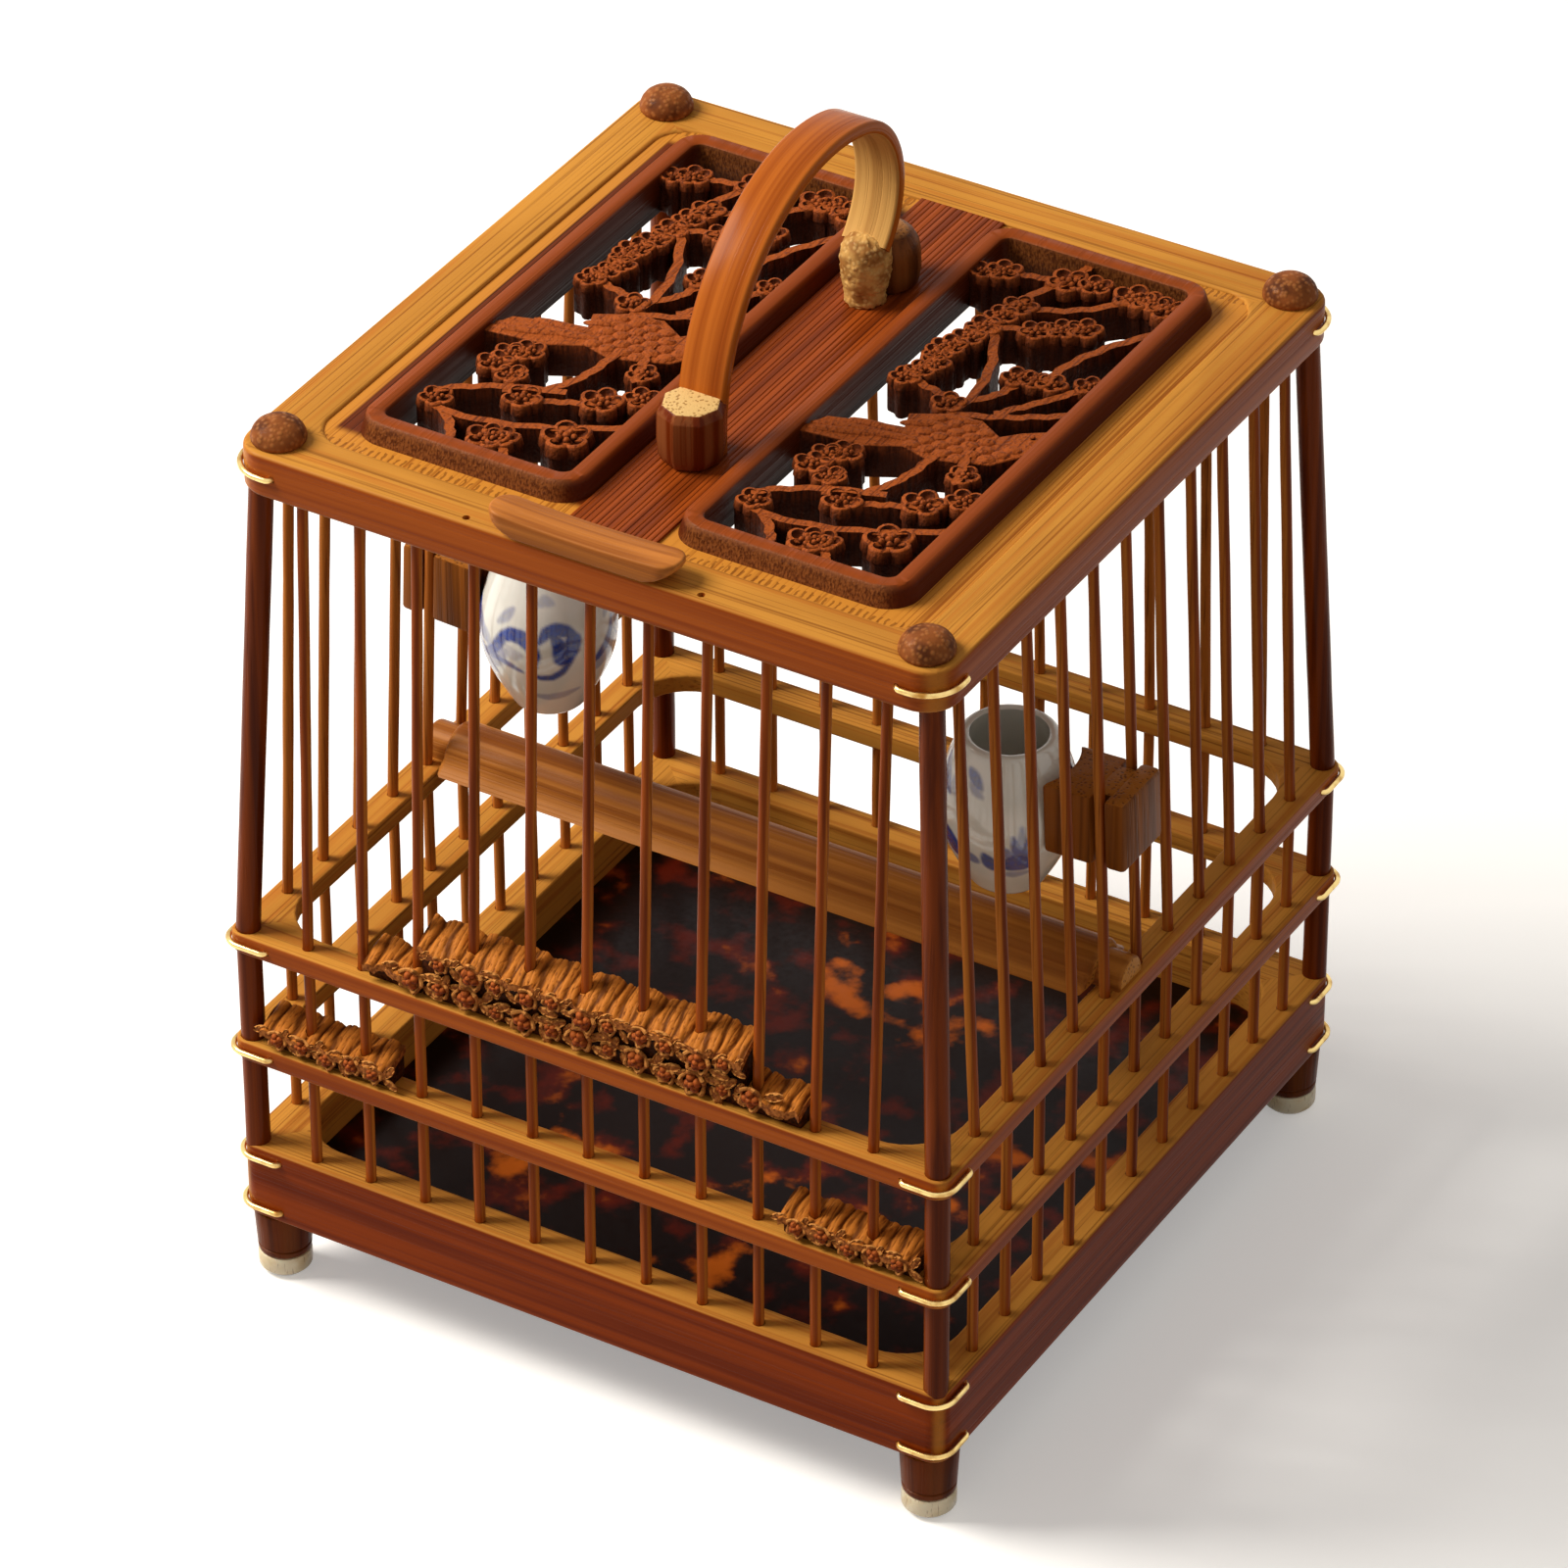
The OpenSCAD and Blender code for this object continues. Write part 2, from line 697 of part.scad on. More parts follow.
// Curved branch that thins towards its end
module branch_plan(a, b, c) {
    pa = carving_point(a);
    pb = carving_point(b);
    pc = carving_point(c);
    middle = [for (i = [0 : curve_steps]) curve_point(pa, pb, pc, i / curve_steps)];
    side = [
        for (i = [0 : curve_steps])
            let (t = i / curve_steps,
                 d = (1 - t) * (pb - pa) + t * (pc - pb),
                 w = branch_w * (1 - branch_taper * t) / 2)
            w * [-d[1], d[0]] / norm(d)
    ];
    polygon(concat(
        [for (i = [0 : curve_steps]) middle[i] + side[i]],
        [for (i = [curve_steps : -1 : 0]) middle[i] - side[i]]
    ));
}

// Blossoms of a panel: place across, place along, and size against a large blossom
carved_blossoms = [
    [-0.77, -0.80, 0.80], [0.00, -0.92, 1.00], [0.63, -0.79, 1.12], [-0.07, -0.66, 0.92],
    [0.60, -0.55, 1.00], [0.90, -0.47, 0.85], [0.68, -0.34, 0.75], [-0.62, -0.52, 0.85],
    [-0.45, -0.41, 0.85], [-0.37, -0.56, 0.75], [-0.05, 0.02, 0.80], [-0.62, 0.09, 0.75],
    [-0.50, 0.21, 0.75], [-0.53, 0.33, 0.85], [-0.42, 0.49, 0.85], [-0.30, 0.66, 0.85],
    [-0.74, 0.83, 0.85], [-0.12, 0.88, 1.00], [0.55, 0.90, 1.00], [0.92, 0.89, 0.95],
    [0.04, 0.55, 0.80], [0.42, 0.64, 0.85], [0.30, 0.27, 0.80], [0.62, 0.29, 0.75], [0.95, 0.34, 0.75]
];

// Branches of a panel: start, pull and end of each curve
carved_branches = [
    [[-0.85, -0.77], [-0.40, -0.62], [0.25, -0.57]],
    [[0.00, -0.60], [0.30, -0.50], [0.28, -0.25]],
    [[-0.60, -0.86], [0.20, -0.86], [1.10, -0.64]],
    [[-0.75, -0.84], [-0.45, -0.86], [-0.25, -1.05]],
    [[0.20, -0.92], [0.25, -1.00], [0.45, -1.06]],
    [[0.00, -0.66], [0.30, -0.62], [0.60, -0.56]],
    [[0.45, -0.58], [0.75, -0.50], [1.10, -0.45]],
    [[0.70, -0.40], [0.60, -0.30], [0.50, -0.18]],
    [[-0.30, -0.50], [-0.35, -0.58], [-0.25, -0.66]],
    [[1.10, 0.16], [0.60, 0.03], [0.10, -0.03]],
    [[0.05, -0.05], [0.20, 0.25], [-0.40, 0.52]],
    [[0.00, 0.05], [-0.30, 0.06], [-0.65, 0.10]],
    [[0.06, 0.06], [0.30, 0.12], [0.34, 0.26]],
    [[0.40, 0.04], [0.70, 0.18], [0.95, 0.34]],
    [[0.55, 0.28], [0.55, 0.50], [1.10, 0.74]],
    [[-0.60, 0.10], [-0.52, 0.30], [-0.40, 0.50]],
    [[-0.45, 0.50], [-0.20, 0.50], [0.45, 0.64]],
    [[-0.40, 0.50], [-0.40, 0.75], [-0.10, 0.88]],
    [[-0.30, 0.66], [0.30, 0.70], [0.60, 0.92]],
    [[-0.15, 0.88], [-0.50, 0.84], [-0.75, 0.84]],
    [[-0.10, 0.86], [-0.12, 1.00], [-0.05, 1.08]],
    [[0.50, 0.90], [0.80, 0.86], [1.08, 0.92]]
];

// Magpie of a panel: from the tail's end along its back to the head, and back under the wing
carved_magpie = [
    [-1.08, -0.36], [-0.90, -0.25], [-0.46, -0.20], [-0.18, -0.18], [-0.26, -0.10],
    [-0.06, -0.06], [0.36, -0.02], [0.64, -0.08], [0.80, -0.02], [1.08, 0.04],
    [1.05, -0.10], [0.78, -0.23], [0.24, -0.30], [-0.06, -0.27], [-0.38, -0.33]
];

// Raised border and pierced carving, the same on both panels
module panel_carving() {
    translate([0, 0, board_z]) {
        linear_extrude(border_top - board_z)
            difference() {
                round_rect(border_half_x, border_half_y, border_r);
                round_rect(carving_half_x, carving_half_y, border_r - border_w);
            }
        linear_extrude(border_top - carving_drop - board_z)
            intersection() {
                round_rect(carving_half_x + border_w / 2, carving_half_y + border_w / 2,
                           border_r - border_w / 2);
                union() {
                    for (b = carved_blossoms) translate(carving_point(b)) blossom_plan(b[2] * blossom_r);
                    for (b = carved_branches) branch_plan(b[0], b[1], b[2]);
                    polygon([for (p = carved_magpie) carving_point(p)]);
                }
            }
    }
}

// Board of the right panel, tongued all round and open behind the carving
module panel_board() {
    difference() {
        union() {
            translate([0, 0, board_z])
                linear_extrude(board_t)
                    lid_half_plan(board_half, top_inner_r, centre_bar_half + fit_gap);
            translate([0, 0, tongue_z])
                linear_extrude(tongue_t)
                    lid_half_plan(tongue_half, top_inner_r + tongue_seat, centre_bar_half - tongue_seat);
        }
        translate([border_mid_x, 0, board_z - eps])
            linear_extrude(board_t + 2 * eps)
                round_rect(border_half_x - border_w / 2, border_half_y - border_w / 2,
                           border_r - border_w / 2);
    }
}

module carved_panel_right() {
    color(carved_red) {
        panel_board();
        translate([border_mid_x, 0, 0]) panel_carving();
    }
}

module carved_panel_left() {
    color(carved_red) {
        mirror([1, 0, 0]) panel_board();
        translate([-border_mid_x, 0, 0]) panel_carving();
    }
}

// Bow of the strap about an axis along X, from one angle above the level to another
module strap_bow(r, swell, from_angle, to_angle) {
    rotate([90, 0, 90])
        rotate([0, 0, from_angle])
            rotate_extrude(angle = to_angle - from_angle)
                translate([r, 0]) square([strap_t + swell, strap_w + swell], center = true);
}

// Turned knob at a foot of the handle
module handle_knob() {
    cylinder(d = knob_d, h = knob_h - knob_bevel);
    translate([0, 0, knob_h - knob_bevel])
        cylinder(d1 = knob_d, d2 = knob_d - 2 * knob_bevel, h = knob_bevel);
}

// Strap bent in a long front bow and a short rear one, with a bulb at its rear foot and a knob
// outside each foot, bored from below for the pegs
module handle() {
    color(skin)
        translate([0, 0, frame_top])
            difference() {
                union() {
                    translate([0, -foot_half, arch_lift / 2])
                        cube([strap_w + strap_swell, strap_t + strap_swell, arch_lift], center = true);
                    translate([0, bow_y, arch_lift])
                        strap_bow(arch_r, 0, 90 - arch_skew - strap_lap, 180 + foot_lap);
                    translate([0, rear_bow_y, rear_bow_z])
                        strap_bow(arch_rear_r, strap_swell, -arch_tuck, 90 - arch_skew);
                    translate([0, bulb_y, 0]) cylinder(d1 = bulb_foot_d, d2 = bulb_d, h = bulb_z);
                    translate([0, bulb_y, bulb_z])
                        cylinder(d1 = bulb_d, d2 = bulb_d - bulb_cap, h = bulb_cap);
                    for (y = knob_places) translate([0, y, 0]) handle_knob();
                }
                for (y = knob_places)
                    translate([0, y, -eps])
                        cylinder(d = handle_peg_d + 2 * fit_gap, h = handle_peg_seat + fit_gap + eps);
            }
}

// Two pegs up through the centre bar into the handle's knobs
module handle_pegs() {
    color(flesh)
        for (y = knob_places)
            translate([0, y, board_z])
                cylinder(d = handle_peg_d, h = frame_top - board_z + handle_peg_seat);
}

// Boat-shaped pull with upturned tips, bored from below for the door bars
module door_pull() {
    tip_z = pull_h - pull_tip_t;
    keel_z = (pow(pull_l / 2, 2) - pow(pull_rest_l / 2, 2) + pow(tip_z, 2)) / (2 * tip_z);
    keel_r = sqrt(pow(pull_rest_l / 2, 2) + pow(keel_z, 2));
    color(flesh)
        difference() {
            translate([0, pull_y, frame_top])
                intersection() {
                    linear_extrude(pull_h) {
                        square([pull_l - pull_w, pull_w], center = true);
                        for (x = [-1, 1]) translate([x * (pull_l - pull_w) / 2, 0]) circle(d = pull_w);
                    }
                    translate([0, pull_w, 0])
                        rotate([90, 0, 0])
                            linear_extrude(2 * pull_w) translate([0, keel_z]) circle(keel_r, $fn = 200);
                }
            for (i = [-door_bars_each_way : door_bars_each_way])
                leaned_rod(i * bar_pitch, bar_hole_d, frame_top - pull_h, frame_top + pull_seat + fit_gap);
        }
}

// Bars of the door, from the pull down to just above the middle ring
module door_bars() {
    color(bar_brown)
        for (i = [-door_bars_each_way : door_bars_each_way])
            leaned_rod(i * bar_pitch, bar_d, middle_top + door_end_gap, frame_top + pull_seat);
}

// Step of a crest in front view, with a row of ridges along its top
module crest_step(length, height) {
    ridges = round(length / ridge_pitch);
    pitch = length / ridges;
    ridge_r = ridge_share * pitch;
    translate([-length / 2, 0]) square([length, height - ridge_r]);
    for (i = [0 : ridges - 1])
        translate([(i + 0.5) * pitch - length / 2, height - ridge_r]) circle(ridge_r, $fn = 24);
}

// Row of blossoms on the front of a crest that stands on z = 0
module crest_blossoms(length, count, z) {
    for (i = [0 : count - 1])
        translate([(i + 0.5) * length / count - length / 2, crest_front, z])
            rotate([90, 0, 0])
                translate([0, 0, -eps])
                    linear_extrude(blossom_relief + eps) blossom_plan(crest_blossom_r);
}

// Turns a front view into a slab of the crests' depth
module crest_slab() {
    translate([0, crest_front + crest_depth, 0])
        rotate([90, 0, 0])
            linear_extrude(crest_depth) children();
}

// Stepped crest on the front of the middle ring, bored for the bars that pass through it
module front_crest() {
    color(crest_brown)
        difference() {
            translate([0, 0, middle_top]) {
                crest_slab() crest_step(crest_mid_l, crest_mid_h);
                crest_slab() crest_step(crest_l, crest_end_h);
                crest_blossoms(crest_l - 2 * crest_blossom_r, crest_low_blossoms, crest_end_h / 2);
                crest_blossoms(crest_mid_l - 2 * crest_blossom_r, crest_high_blossoms, crest_mid_h / 2);
            }
            for (i = [-bars_each_way : bars_each_way])
                leaned_rod(i * bar_pitch, door_hole_d, lower_top, middle_top + 2 * crest_mid_h);
        }
}

// Small crest on the lower ring beside the front right post, bored for the bars that pass through it
module corner_crest() {
    color(crest_brown)
        difference() {
            translate([post_half - corner_crest_gap - corner_crest_l / 2, 0, lower_top]) {
                crest_slab() crest_step(corner_crest_l, corner_crest_h);
                crest_blossoms(corner_crest_l, corner_blossoms, corner_crest_h / 2);
            }
            bar_holes(base_top, middle_top);
        }
}

module corner_crest_right() {
    corner_crest();
}

module corner_crest_left() {
    mirror([1, 0, 0]) corner_crest();
}

// Half-round section of the perch
module perch_section(w, h) {
    intersection() {
        translate([0, h - w / 2]) circle(d = w);
        translate([-w / 2, 0]) square([w, h]);
    }
}

// Perch across the cage, its narrow ends lying on the side rails between two bars
module perch() {
    end_half = post_half + perch_out;
    middle_half = ring_inner - fit_gap;
    color(flesh)
        translate([0, -gap_x, middle_top])
            rotate([90, 0, 90]) {
                translate([0, 0, -end_half])
                    linear_extrude(2 * end_half) perch_section(perch_end_w, perch_end_h);
                translate([0, 0, -middle_half])
                    linear_extrude(2 * middle_half) perch_section(perch_w, perch_h);
            }
}

// Height of the middle of a holder whose cup stands at the given height
function holder_z(cup_z) = cup_z + cup_belly_h + holder_lift;

// Distance of the leaning bars from the cage's middle at a height above the middle ring
function face_half(z) = post_half - (z - middle_top) * tan(lean);

// Half outline of a cup: round belly between a foot and a mouth, made smaller by an inset
function cup_outline(inset) = concat(
    [for (i = [0 : curve_steps])
        let (t = i / curve_steps)
        [cup_foot_d / 2 + (cup_d - cup_foot_d) / 2 * sin(90 * t) - inset,
         inset + (cup_belly_h - inset) * t]],
    [for (i = [1 : curve_steps])
        let (t = i / curve_steps)
        [cup_mouth_d / 2 + (cup_d - cup_mouth_d) / 2 * cos(90 * t) - inset,
         cup_belly_h + (cup_h - cup_belly_h) * t]]
);

// Feed cup inside the front face, in the gap beside the middle bar
module feed_cup(x, lift) {
    cup_z = middle_top + lift;
    color(porcelain)
        translate([x, cup_reach - face_half(holder_z(cup_z)), cup_z])
            rotate_extrude()
                difference() {
                    polygon(concat([[0, 0]], cup_outline(0), [[0, cup_h]]));
                    polygon(concat([[0, cup_wall]], cup_outline(cup_wall), [[0, cup_h]]));
                }
}

// Block in the plane of the leaning bars, from one distance inside them to another
module holder_block(x, z, w, in_from, in_to) {
    translate([x, -post_half, middle_top])
        rotate([-lean, 0, 0])
            translate([-w / 2, in_from, (z - middle_top) / cos(lean) - holder_h / 2])
                cube([w, in_to - in_from, holder_h]);
}

// Wooden holder: a neck between two bars, a flange outside them and a block inside that seats the cup
module cup_holder(x, lift) {
    cup_z = middle_top + lift;
    z = holder_z(cup_z);
    seat_r = cup_d / 2 + fit_gap;
    color(skin)
        difference() {
            union() {
                holder_block(x, z, holder_w, -rod_gap - flange_t, -rod_gap);
                holder_block(x, z, neck_w, -rod_gap - eps, rod_gap + eps);
                holder_block(x, z, holder_w, rod_gap, cup_reach - seat_r + holder_lip);
            }
            translate([x, cup_reach - face_half(z), cup_z - cup_h])
                cylinder(r = seat_r, h = 3 * cup_h);
        }
}

floor_board();
on_side("front") leg();  // leg_front_right
on_side("right") leg();  // leg_back_right
on_side("back") leg();  // leg_back_left
on_side("left") leg();  // leg_front_left
foot_tips();
on_side("front") base_rail();  // base_rail_front
on_side("right") base_rail();  // base_rail_right
on_side("back") base_rail();  // base_rail_back
on_side("left") base_rail();  // base_rail_left
on_side("front") ring_rail(lower_top);  // lower_rail_front
on_side("right") ring_rail(lower_top);  // lower_rail_right
on_side("back") ring_rail(lower_top);  // lower_rail_back
on_side("left") ring_rail(lower_top);  // lower_rail_left
on_side("front") ring_rail(middle_top);  // middle_rail_front
on_side("right") ring_rail(middle_top);  // middle_rail_right
on_side("back") ring_rail(middle_top);  // middle_rail_back
on_side("left") ring_rail(middle_top);  // middle_rail_left
top_rail_front();
on_side("right") top_rail();  // top_rail_right
on_side("back") top_rail();  // top_rail_back
on_side("left") top_rail();  // top_rail_left
on_side("front") corner_post();  // corner_post_front_right
on_side("right") corner_post();  // corner_post_back_right
on_side("back") corner_post();  // corner_post_back_left
on_side("left") corner_post();  // corner_post_front_left
corner_finials();
bent_bars(-bars_each_way, -door_bars_each_way - 1);  // front_bars_left
bent_bars(door_bars_each_way + 1, bars_each_way);  // front_bars_right
sill_bars();
on_side("right") bent_bars(-bars_each_way, bars_each_way);  // right_bars
on_side("back") bent_bars(-bars_each_way, bars_each_way);  // back_bars
on_side("left") bent_bars(-bars_each_way, bars_each_way);  // left_bars
base_lower_wires();
base_upper_wires();
lower_wires();
middle_wires();
top_wires();
centre_bar();
carved_panel_left();
carved_panel_right();
handle();
handle_pegs();
door_pull();
door_bars();
front_crest();
corner_crest_left();
corner_crest_right();
perch();
on_side("left") feed_cup(gap_x, cup_left_lift);  // feed_cup_left
on_side("right") feed_cup(-gap_x, cup_right_lift);  // feed_cup_right
on_side("left") cup_holder(gap_x, cup_left_lift);  // cup_holder_left
on_side("right") cup_holder(-gap_x, cup_right_lift);  // cup_holder_right
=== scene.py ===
import math

import bmesh
import bpy
import numpy as np
from mathutils import Matrix, Vector, noise


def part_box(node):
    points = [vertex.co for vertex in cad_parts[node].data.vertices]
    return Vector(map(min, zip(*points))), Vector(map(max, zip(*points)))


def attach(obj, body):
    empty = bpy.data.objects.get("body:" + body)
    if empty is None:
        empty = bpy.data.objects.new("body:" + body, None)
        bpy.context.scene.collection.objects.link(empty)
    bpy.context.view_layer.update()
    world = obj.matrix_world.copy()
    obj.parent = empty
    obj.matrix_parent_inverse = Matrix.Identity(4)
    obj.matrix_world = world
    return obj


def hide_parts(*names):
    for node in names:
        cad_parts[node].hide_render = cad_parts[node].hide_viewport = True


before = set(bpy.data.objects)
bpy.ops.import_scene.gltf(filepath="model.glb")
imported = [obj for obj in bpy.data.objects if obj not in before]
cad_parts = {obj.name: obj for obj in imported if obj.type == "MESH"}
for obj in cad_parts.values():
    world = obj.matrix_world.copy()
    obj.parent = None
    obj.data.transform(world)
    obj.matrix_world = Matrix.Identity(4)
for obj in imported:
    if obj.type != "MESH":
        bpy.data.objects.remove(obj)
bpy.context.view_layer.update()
MM = 0.001


# Floor board
# A thin board with the mottled red and amber look of tortoiseshell, polished on top.
# It slides into a groove of the base rails, so its edges and round corners are out of sight.

SAME, NEAR = 1e-7, 1e-6


def alone(piece):
    """Makes one piece the active one and the only one selected."""
    bpy.ops.object.select_all(action="DESELECT")
    bpy.context.view_layer.objects.active = piece
    piece.select_set(True)


def whole(kind="VERT"):
    """Selects all of the open piece by its points, edges or faces."""
    bpy.ops.mesh.select_mode(type=kind)
    bpy.ops.mesh.select_all(action="SELECT")


def open_mesh(piece):
    """Takes one piece into edit mode with all of it selected and nothing else."""
    alone(piece)
    bpy.ops.object.mode_set(mode="EDIT")
    whole()


def close_mesh(piece):
    """Closes seams, turns all faces outwards and leaves edit mode."""
    whole()
    bpy.ops.mesh.remove_doubles(threshold=SAME)
    bpy.ops.mesh.normals_make_consistent(inside=False)
    bpy.ops.object.mode_set(mode="OBJECT")
    return piece


def pick(piece, kind, wanted):
    """Selects those edges or faces of the open piece that pass a test."""
    bpy.ops.mesh.select_mode(type=kind)
    bpy.ops.mesh.select_all(action="DESELECT")
    mesh = bmesh.from_edit_mesh(piece.data)
    mesh.normal_update()
    for item in mesh.edges if kind == "EDGE" else mesh.faces:
        if wanted(item):
            item.select_set(True)
    bmesh.update_edit_mesh(piece.data)


def push(x, y, z):
    """Extrudes what is selected by a distance."""
    bpy.ops.mesh.extrude_region_move(TRANSFORM_OT_translate={"value": (x, y, z)})


def soften(offset, segments=3):
    """Rounds the selected edges."""
    bpy.ops.mesh.bevel(offset=offset, segments=segments, affect="EDGES", clamp_overlap=True)


def fresh(add, **settings):
    """Adds a primitive with nothing else selected and takes its place and turn into its mesh."""
    bpy.ops.object.select_all(action="DESELECT")
    add(**settings)
    bpy.ops.object.transform_apply(location=True, rotation=True, scale=True)
    return bpy.context.object


def flat_plate(half_x, half_y, corner_r, z, segments=8):
    """Adds a level rectangle with round corners and leaves it open for editing."""
    plate = fresh(bpy.ops.mesh.primitive_plane_add, size=2)
    open_mesh(plate)
    bpy.ops.transform.resize(value=(half_x, half_y, 1))
    bpy.ops.transform.translate(value=(0, 0, z))
    bpy.ops.mesh.bevel(offset=corner_r, segments=segments, affect="VERTICES")
    return plate


def fit(piece, name, body, slot, finishes, *nodes, smooth=35):
    """Names and dresses a finished piece and sets it on its body in place of its plain solids."""
    piece.name = piece.data.name = name
    for finish in finishes if isinstance(finishes, list) else [finishes]:
        piece.data.materials.append(finish)
    alone(piece)
    bpy.ops.object.shade_smooth_by_angle(angle=math.radians(smooth))
    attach(piece, body)
    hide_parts(*nodes)


def tint(red, green, blue):
    """A colour as the eye reads it, 0 to 255, as a shader colour."""
    return tuple(((c / 255 + 0.055) / 1.055) ** 2.4 if c > 10 else c / 3294 for c in (red, green, blue)) + (1,)


def shade(kind, inputs=None, tree=None, **settings):
    """Adds a shader node, whose inputs are plain values or outputs of other nodes, and gives its outputs."""
    inputs = inputs or {}
    linked = [key for key, value in inputs.items() if isinstance(value, bpy.types.NodeSocket)]
    tree = tree or inputs[linked[0]].id_data
    node = tree.nodes.new("ShaderNode" + kind)
    for key, value in settings.items():
        setattr(node, key, value)
    for key, value in inputs.items():
        if key in linked:
            tree.links.new(value, node.inputs[key])
        else:
            node.inputs[key].default_value = value
    return node.outputs


def blend(share, first, second):
    """Mixes two colours."""
    return shade("Mix", {0: share, 6: first, 7: second}, data_type="RGBA")[2]


def ramp(value, low, high, first=0.0, last=1.0):
    """Spreads a value smoothly between two limits."""
    limits = {"Value": value, "From Min": low, "From Max": high, "To Min": first, "To Max": last}
    return shade("MapRange", limits, interpolation_type="SMOOTHSTEP")[0]


def sums(operation, first, second=0.0):
    """One step of arithmetic on masks."""
    return shade("Math", {0: first, 1: second}, operation=operation)[0]


def times(first, second):
    """Weakens a mask by a share or by another mask."""
    return sums("MULTIPLY", first, second)


def spread_out(place, spread):
    """Place multiplied along each axis, as a texture reads it."""
    return shade("VectorMath", {0: place, 1: spread}, operation="MULTIPLY")[0]


def speckle(place, size, detail=2.0, stretch=(1, 1, 1)):
    """Soft noise whose marks are about the given size, longer or shorter along each axis."""
    scaled = spread_out(place, tuple(1 / (size * s) for s in stretch))
    return shade("TexNoise", {"Vector": scaled, "Scale": 1.0, "Detail": detail})[0]


def new_finish(name, **values):
    """A new material, with its even values set on its shader, and the place on the piece that it reads."""
    finish = bpy.data.materials.new(name)
    finish.use_nodes = True
    surface = finish.node_tree.nodes["Principled BSDF"].inputs
    for key, value in values.items():
        surface[key.replace("_", " ")].default_value = value
    return finish, shade("TexCoord", tree=finish.node_tree)["Object"]


def dress(finish, colour, roughness, height, depth, strength=0.5):
    """Links colour, roughness and relief to a finish."""
    tree = finish.node_tree
    surface = tree.nodes["Principled BSDF"].inputs
    relief = shade("Bump", {"Height": height, "Distance": depth, "Strength": strength})[0]
    for name, value in (("Base Color", colour), ("Roughness", roughness), ("Normal", relief)):
        tree.links.new(value, surface[name])
    return finish


def tortoiseshell():
    """Dark red clouds with amber flames, under a thin polish."""
    finish, place = new_finish("tortoiseshell", Specular_IOR_Level=0.1, Coat_Weight=0.04, Coat_Roughness=0.15)
    clouds = speckle(place, 16 * MM, 3)
    blotches = speckle(place, 6.5 * MM, 5)
    amber = ramp(sums("ADD", clouds, blotches), 1.12, 1.3)
    red = ramp(blotches, 0.48, 0.68)
    dark = blend(red, tint(20, 6, 3), tint(88, 20, 4))
    colour = blend(amber, dark, tint(198, 98, 20))
    fine = speckle(place, 0.8 * MM, 3)
    return dress(finish, colour, ramp(fine, 0.2, 0.8, 0.3, 0.5), fine, 0.02 * MM, 0.2)


floor_low, floor_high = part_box("floor_board")
FLOOR_CORNER = 9.1 * MM
FLOOR_EDGE = 0.3 * MM
floor_board = flat_plate(floor_high.x, floor_high.y, FLOOR_CORNER, floor_low.z)
push(0, 0, floor_high.z - floor_low.z)
pick(floor_board, "EDGE", lambda e: all(v.co.z > floor_low.z + NEAR for v in e.verts))
soften(FLOOR_EDGE, 2)
fit(close_mesh(floor_board), "tortoiseshell_floor", "cage", "tortoiseshell", tortoiseshell(), "floor_board")


# Legs
# Four short round legs of dark bamboo, turned with a slight taper and a fine groove above the tip.
# A tenon on top goes up into each base corner.

def turn(profile, x, y, base=0.0, steps=32):
    """Turns a profile, in millimetres out and up, about an upright axis, as on a lathe."""
    outline = [(r * MM, base + z * MM) for r, z in profile]
    piece = fresh(bpy.ops.mesh.primitive_plane_add, size=MM)
    open_mesh(piece)
    bpy.ops.mesh.merge(type="CENTER")
    bpy.ops.transform.translate(value=(x + outline[0][0], y, outline[0][1]))
    for (r, z), (next_r, next_z) in zip(outline, outline[1:]):
        push(next_r - r, 0, next_z - z)
    whole()
    bpy.ops.mesh.spin(steps=steps, angle=math.tau, center=(x, y, 0), axis=(0, 0, 1))
    return close_mesh(piece)


def axis_of(node):
    """Where the upright axis of a round node stands, and the height of its foot."""
    low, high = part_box(node)
    return (low.x + high.x) / 2, (low.y + high.y) / 2, low.z


def copy_of(piece, move):
    """A copy with its own mesh, moved or turned."""
    twin = piece.copy()
    twin.data = piece.data.copy()
    twin.data.transform(move)
    bpy.context.scene.collection.objects.link(twin)
    return twin


def quarter_turn(count):
    """Turn that takes what stands at the front, or at the front right corner, to another side."""
    return Matrix.Rotation(count * math.pi / 2, 4, "Z")


fibre = bpy.data.node_groups.new("bamboo_fibre", "ShaderNodeTree")
fibre.interface.new_socket("Along", in_out="INPUT", socket_type="NodeSocketVector")
fibre_in = fibre.nodes.new("NodeGroupInput").outputs["Along"]
fibre_out = fibre.nodes.new("NodeGroupOutput").inputs
strand = ramp(speckle(fibre_in, 0.38 * MM, 3, (150, 1, 1)), 0.5, 0.72)
streak = ramp(speckle(fibre_in, 1.3 * MM, 3, (80, 1, 1)), 0.34, 0.7)
tone = ramp(speckle(fibre_in, 7 * MM, 2, (5, 1, 1)), 0.3, 0.7)
cells = spread_out(fibre_in, (200, 1900, 1900))
dots = ramp(shade("TexVoronoi", {"Vector": cells, "Scale": 1.0})[0], 0.2, 0.42, 1, 0)
for output, value in (("Strand", strand), ("Streak", streak), ("Tone", tone), ("Dots", dots)):
    fibre.interface.new_socket(output, in_out="OUTPUT", socket_type="NodeSocketFloat")
    fibre.links.new(value, fibre_out[output])


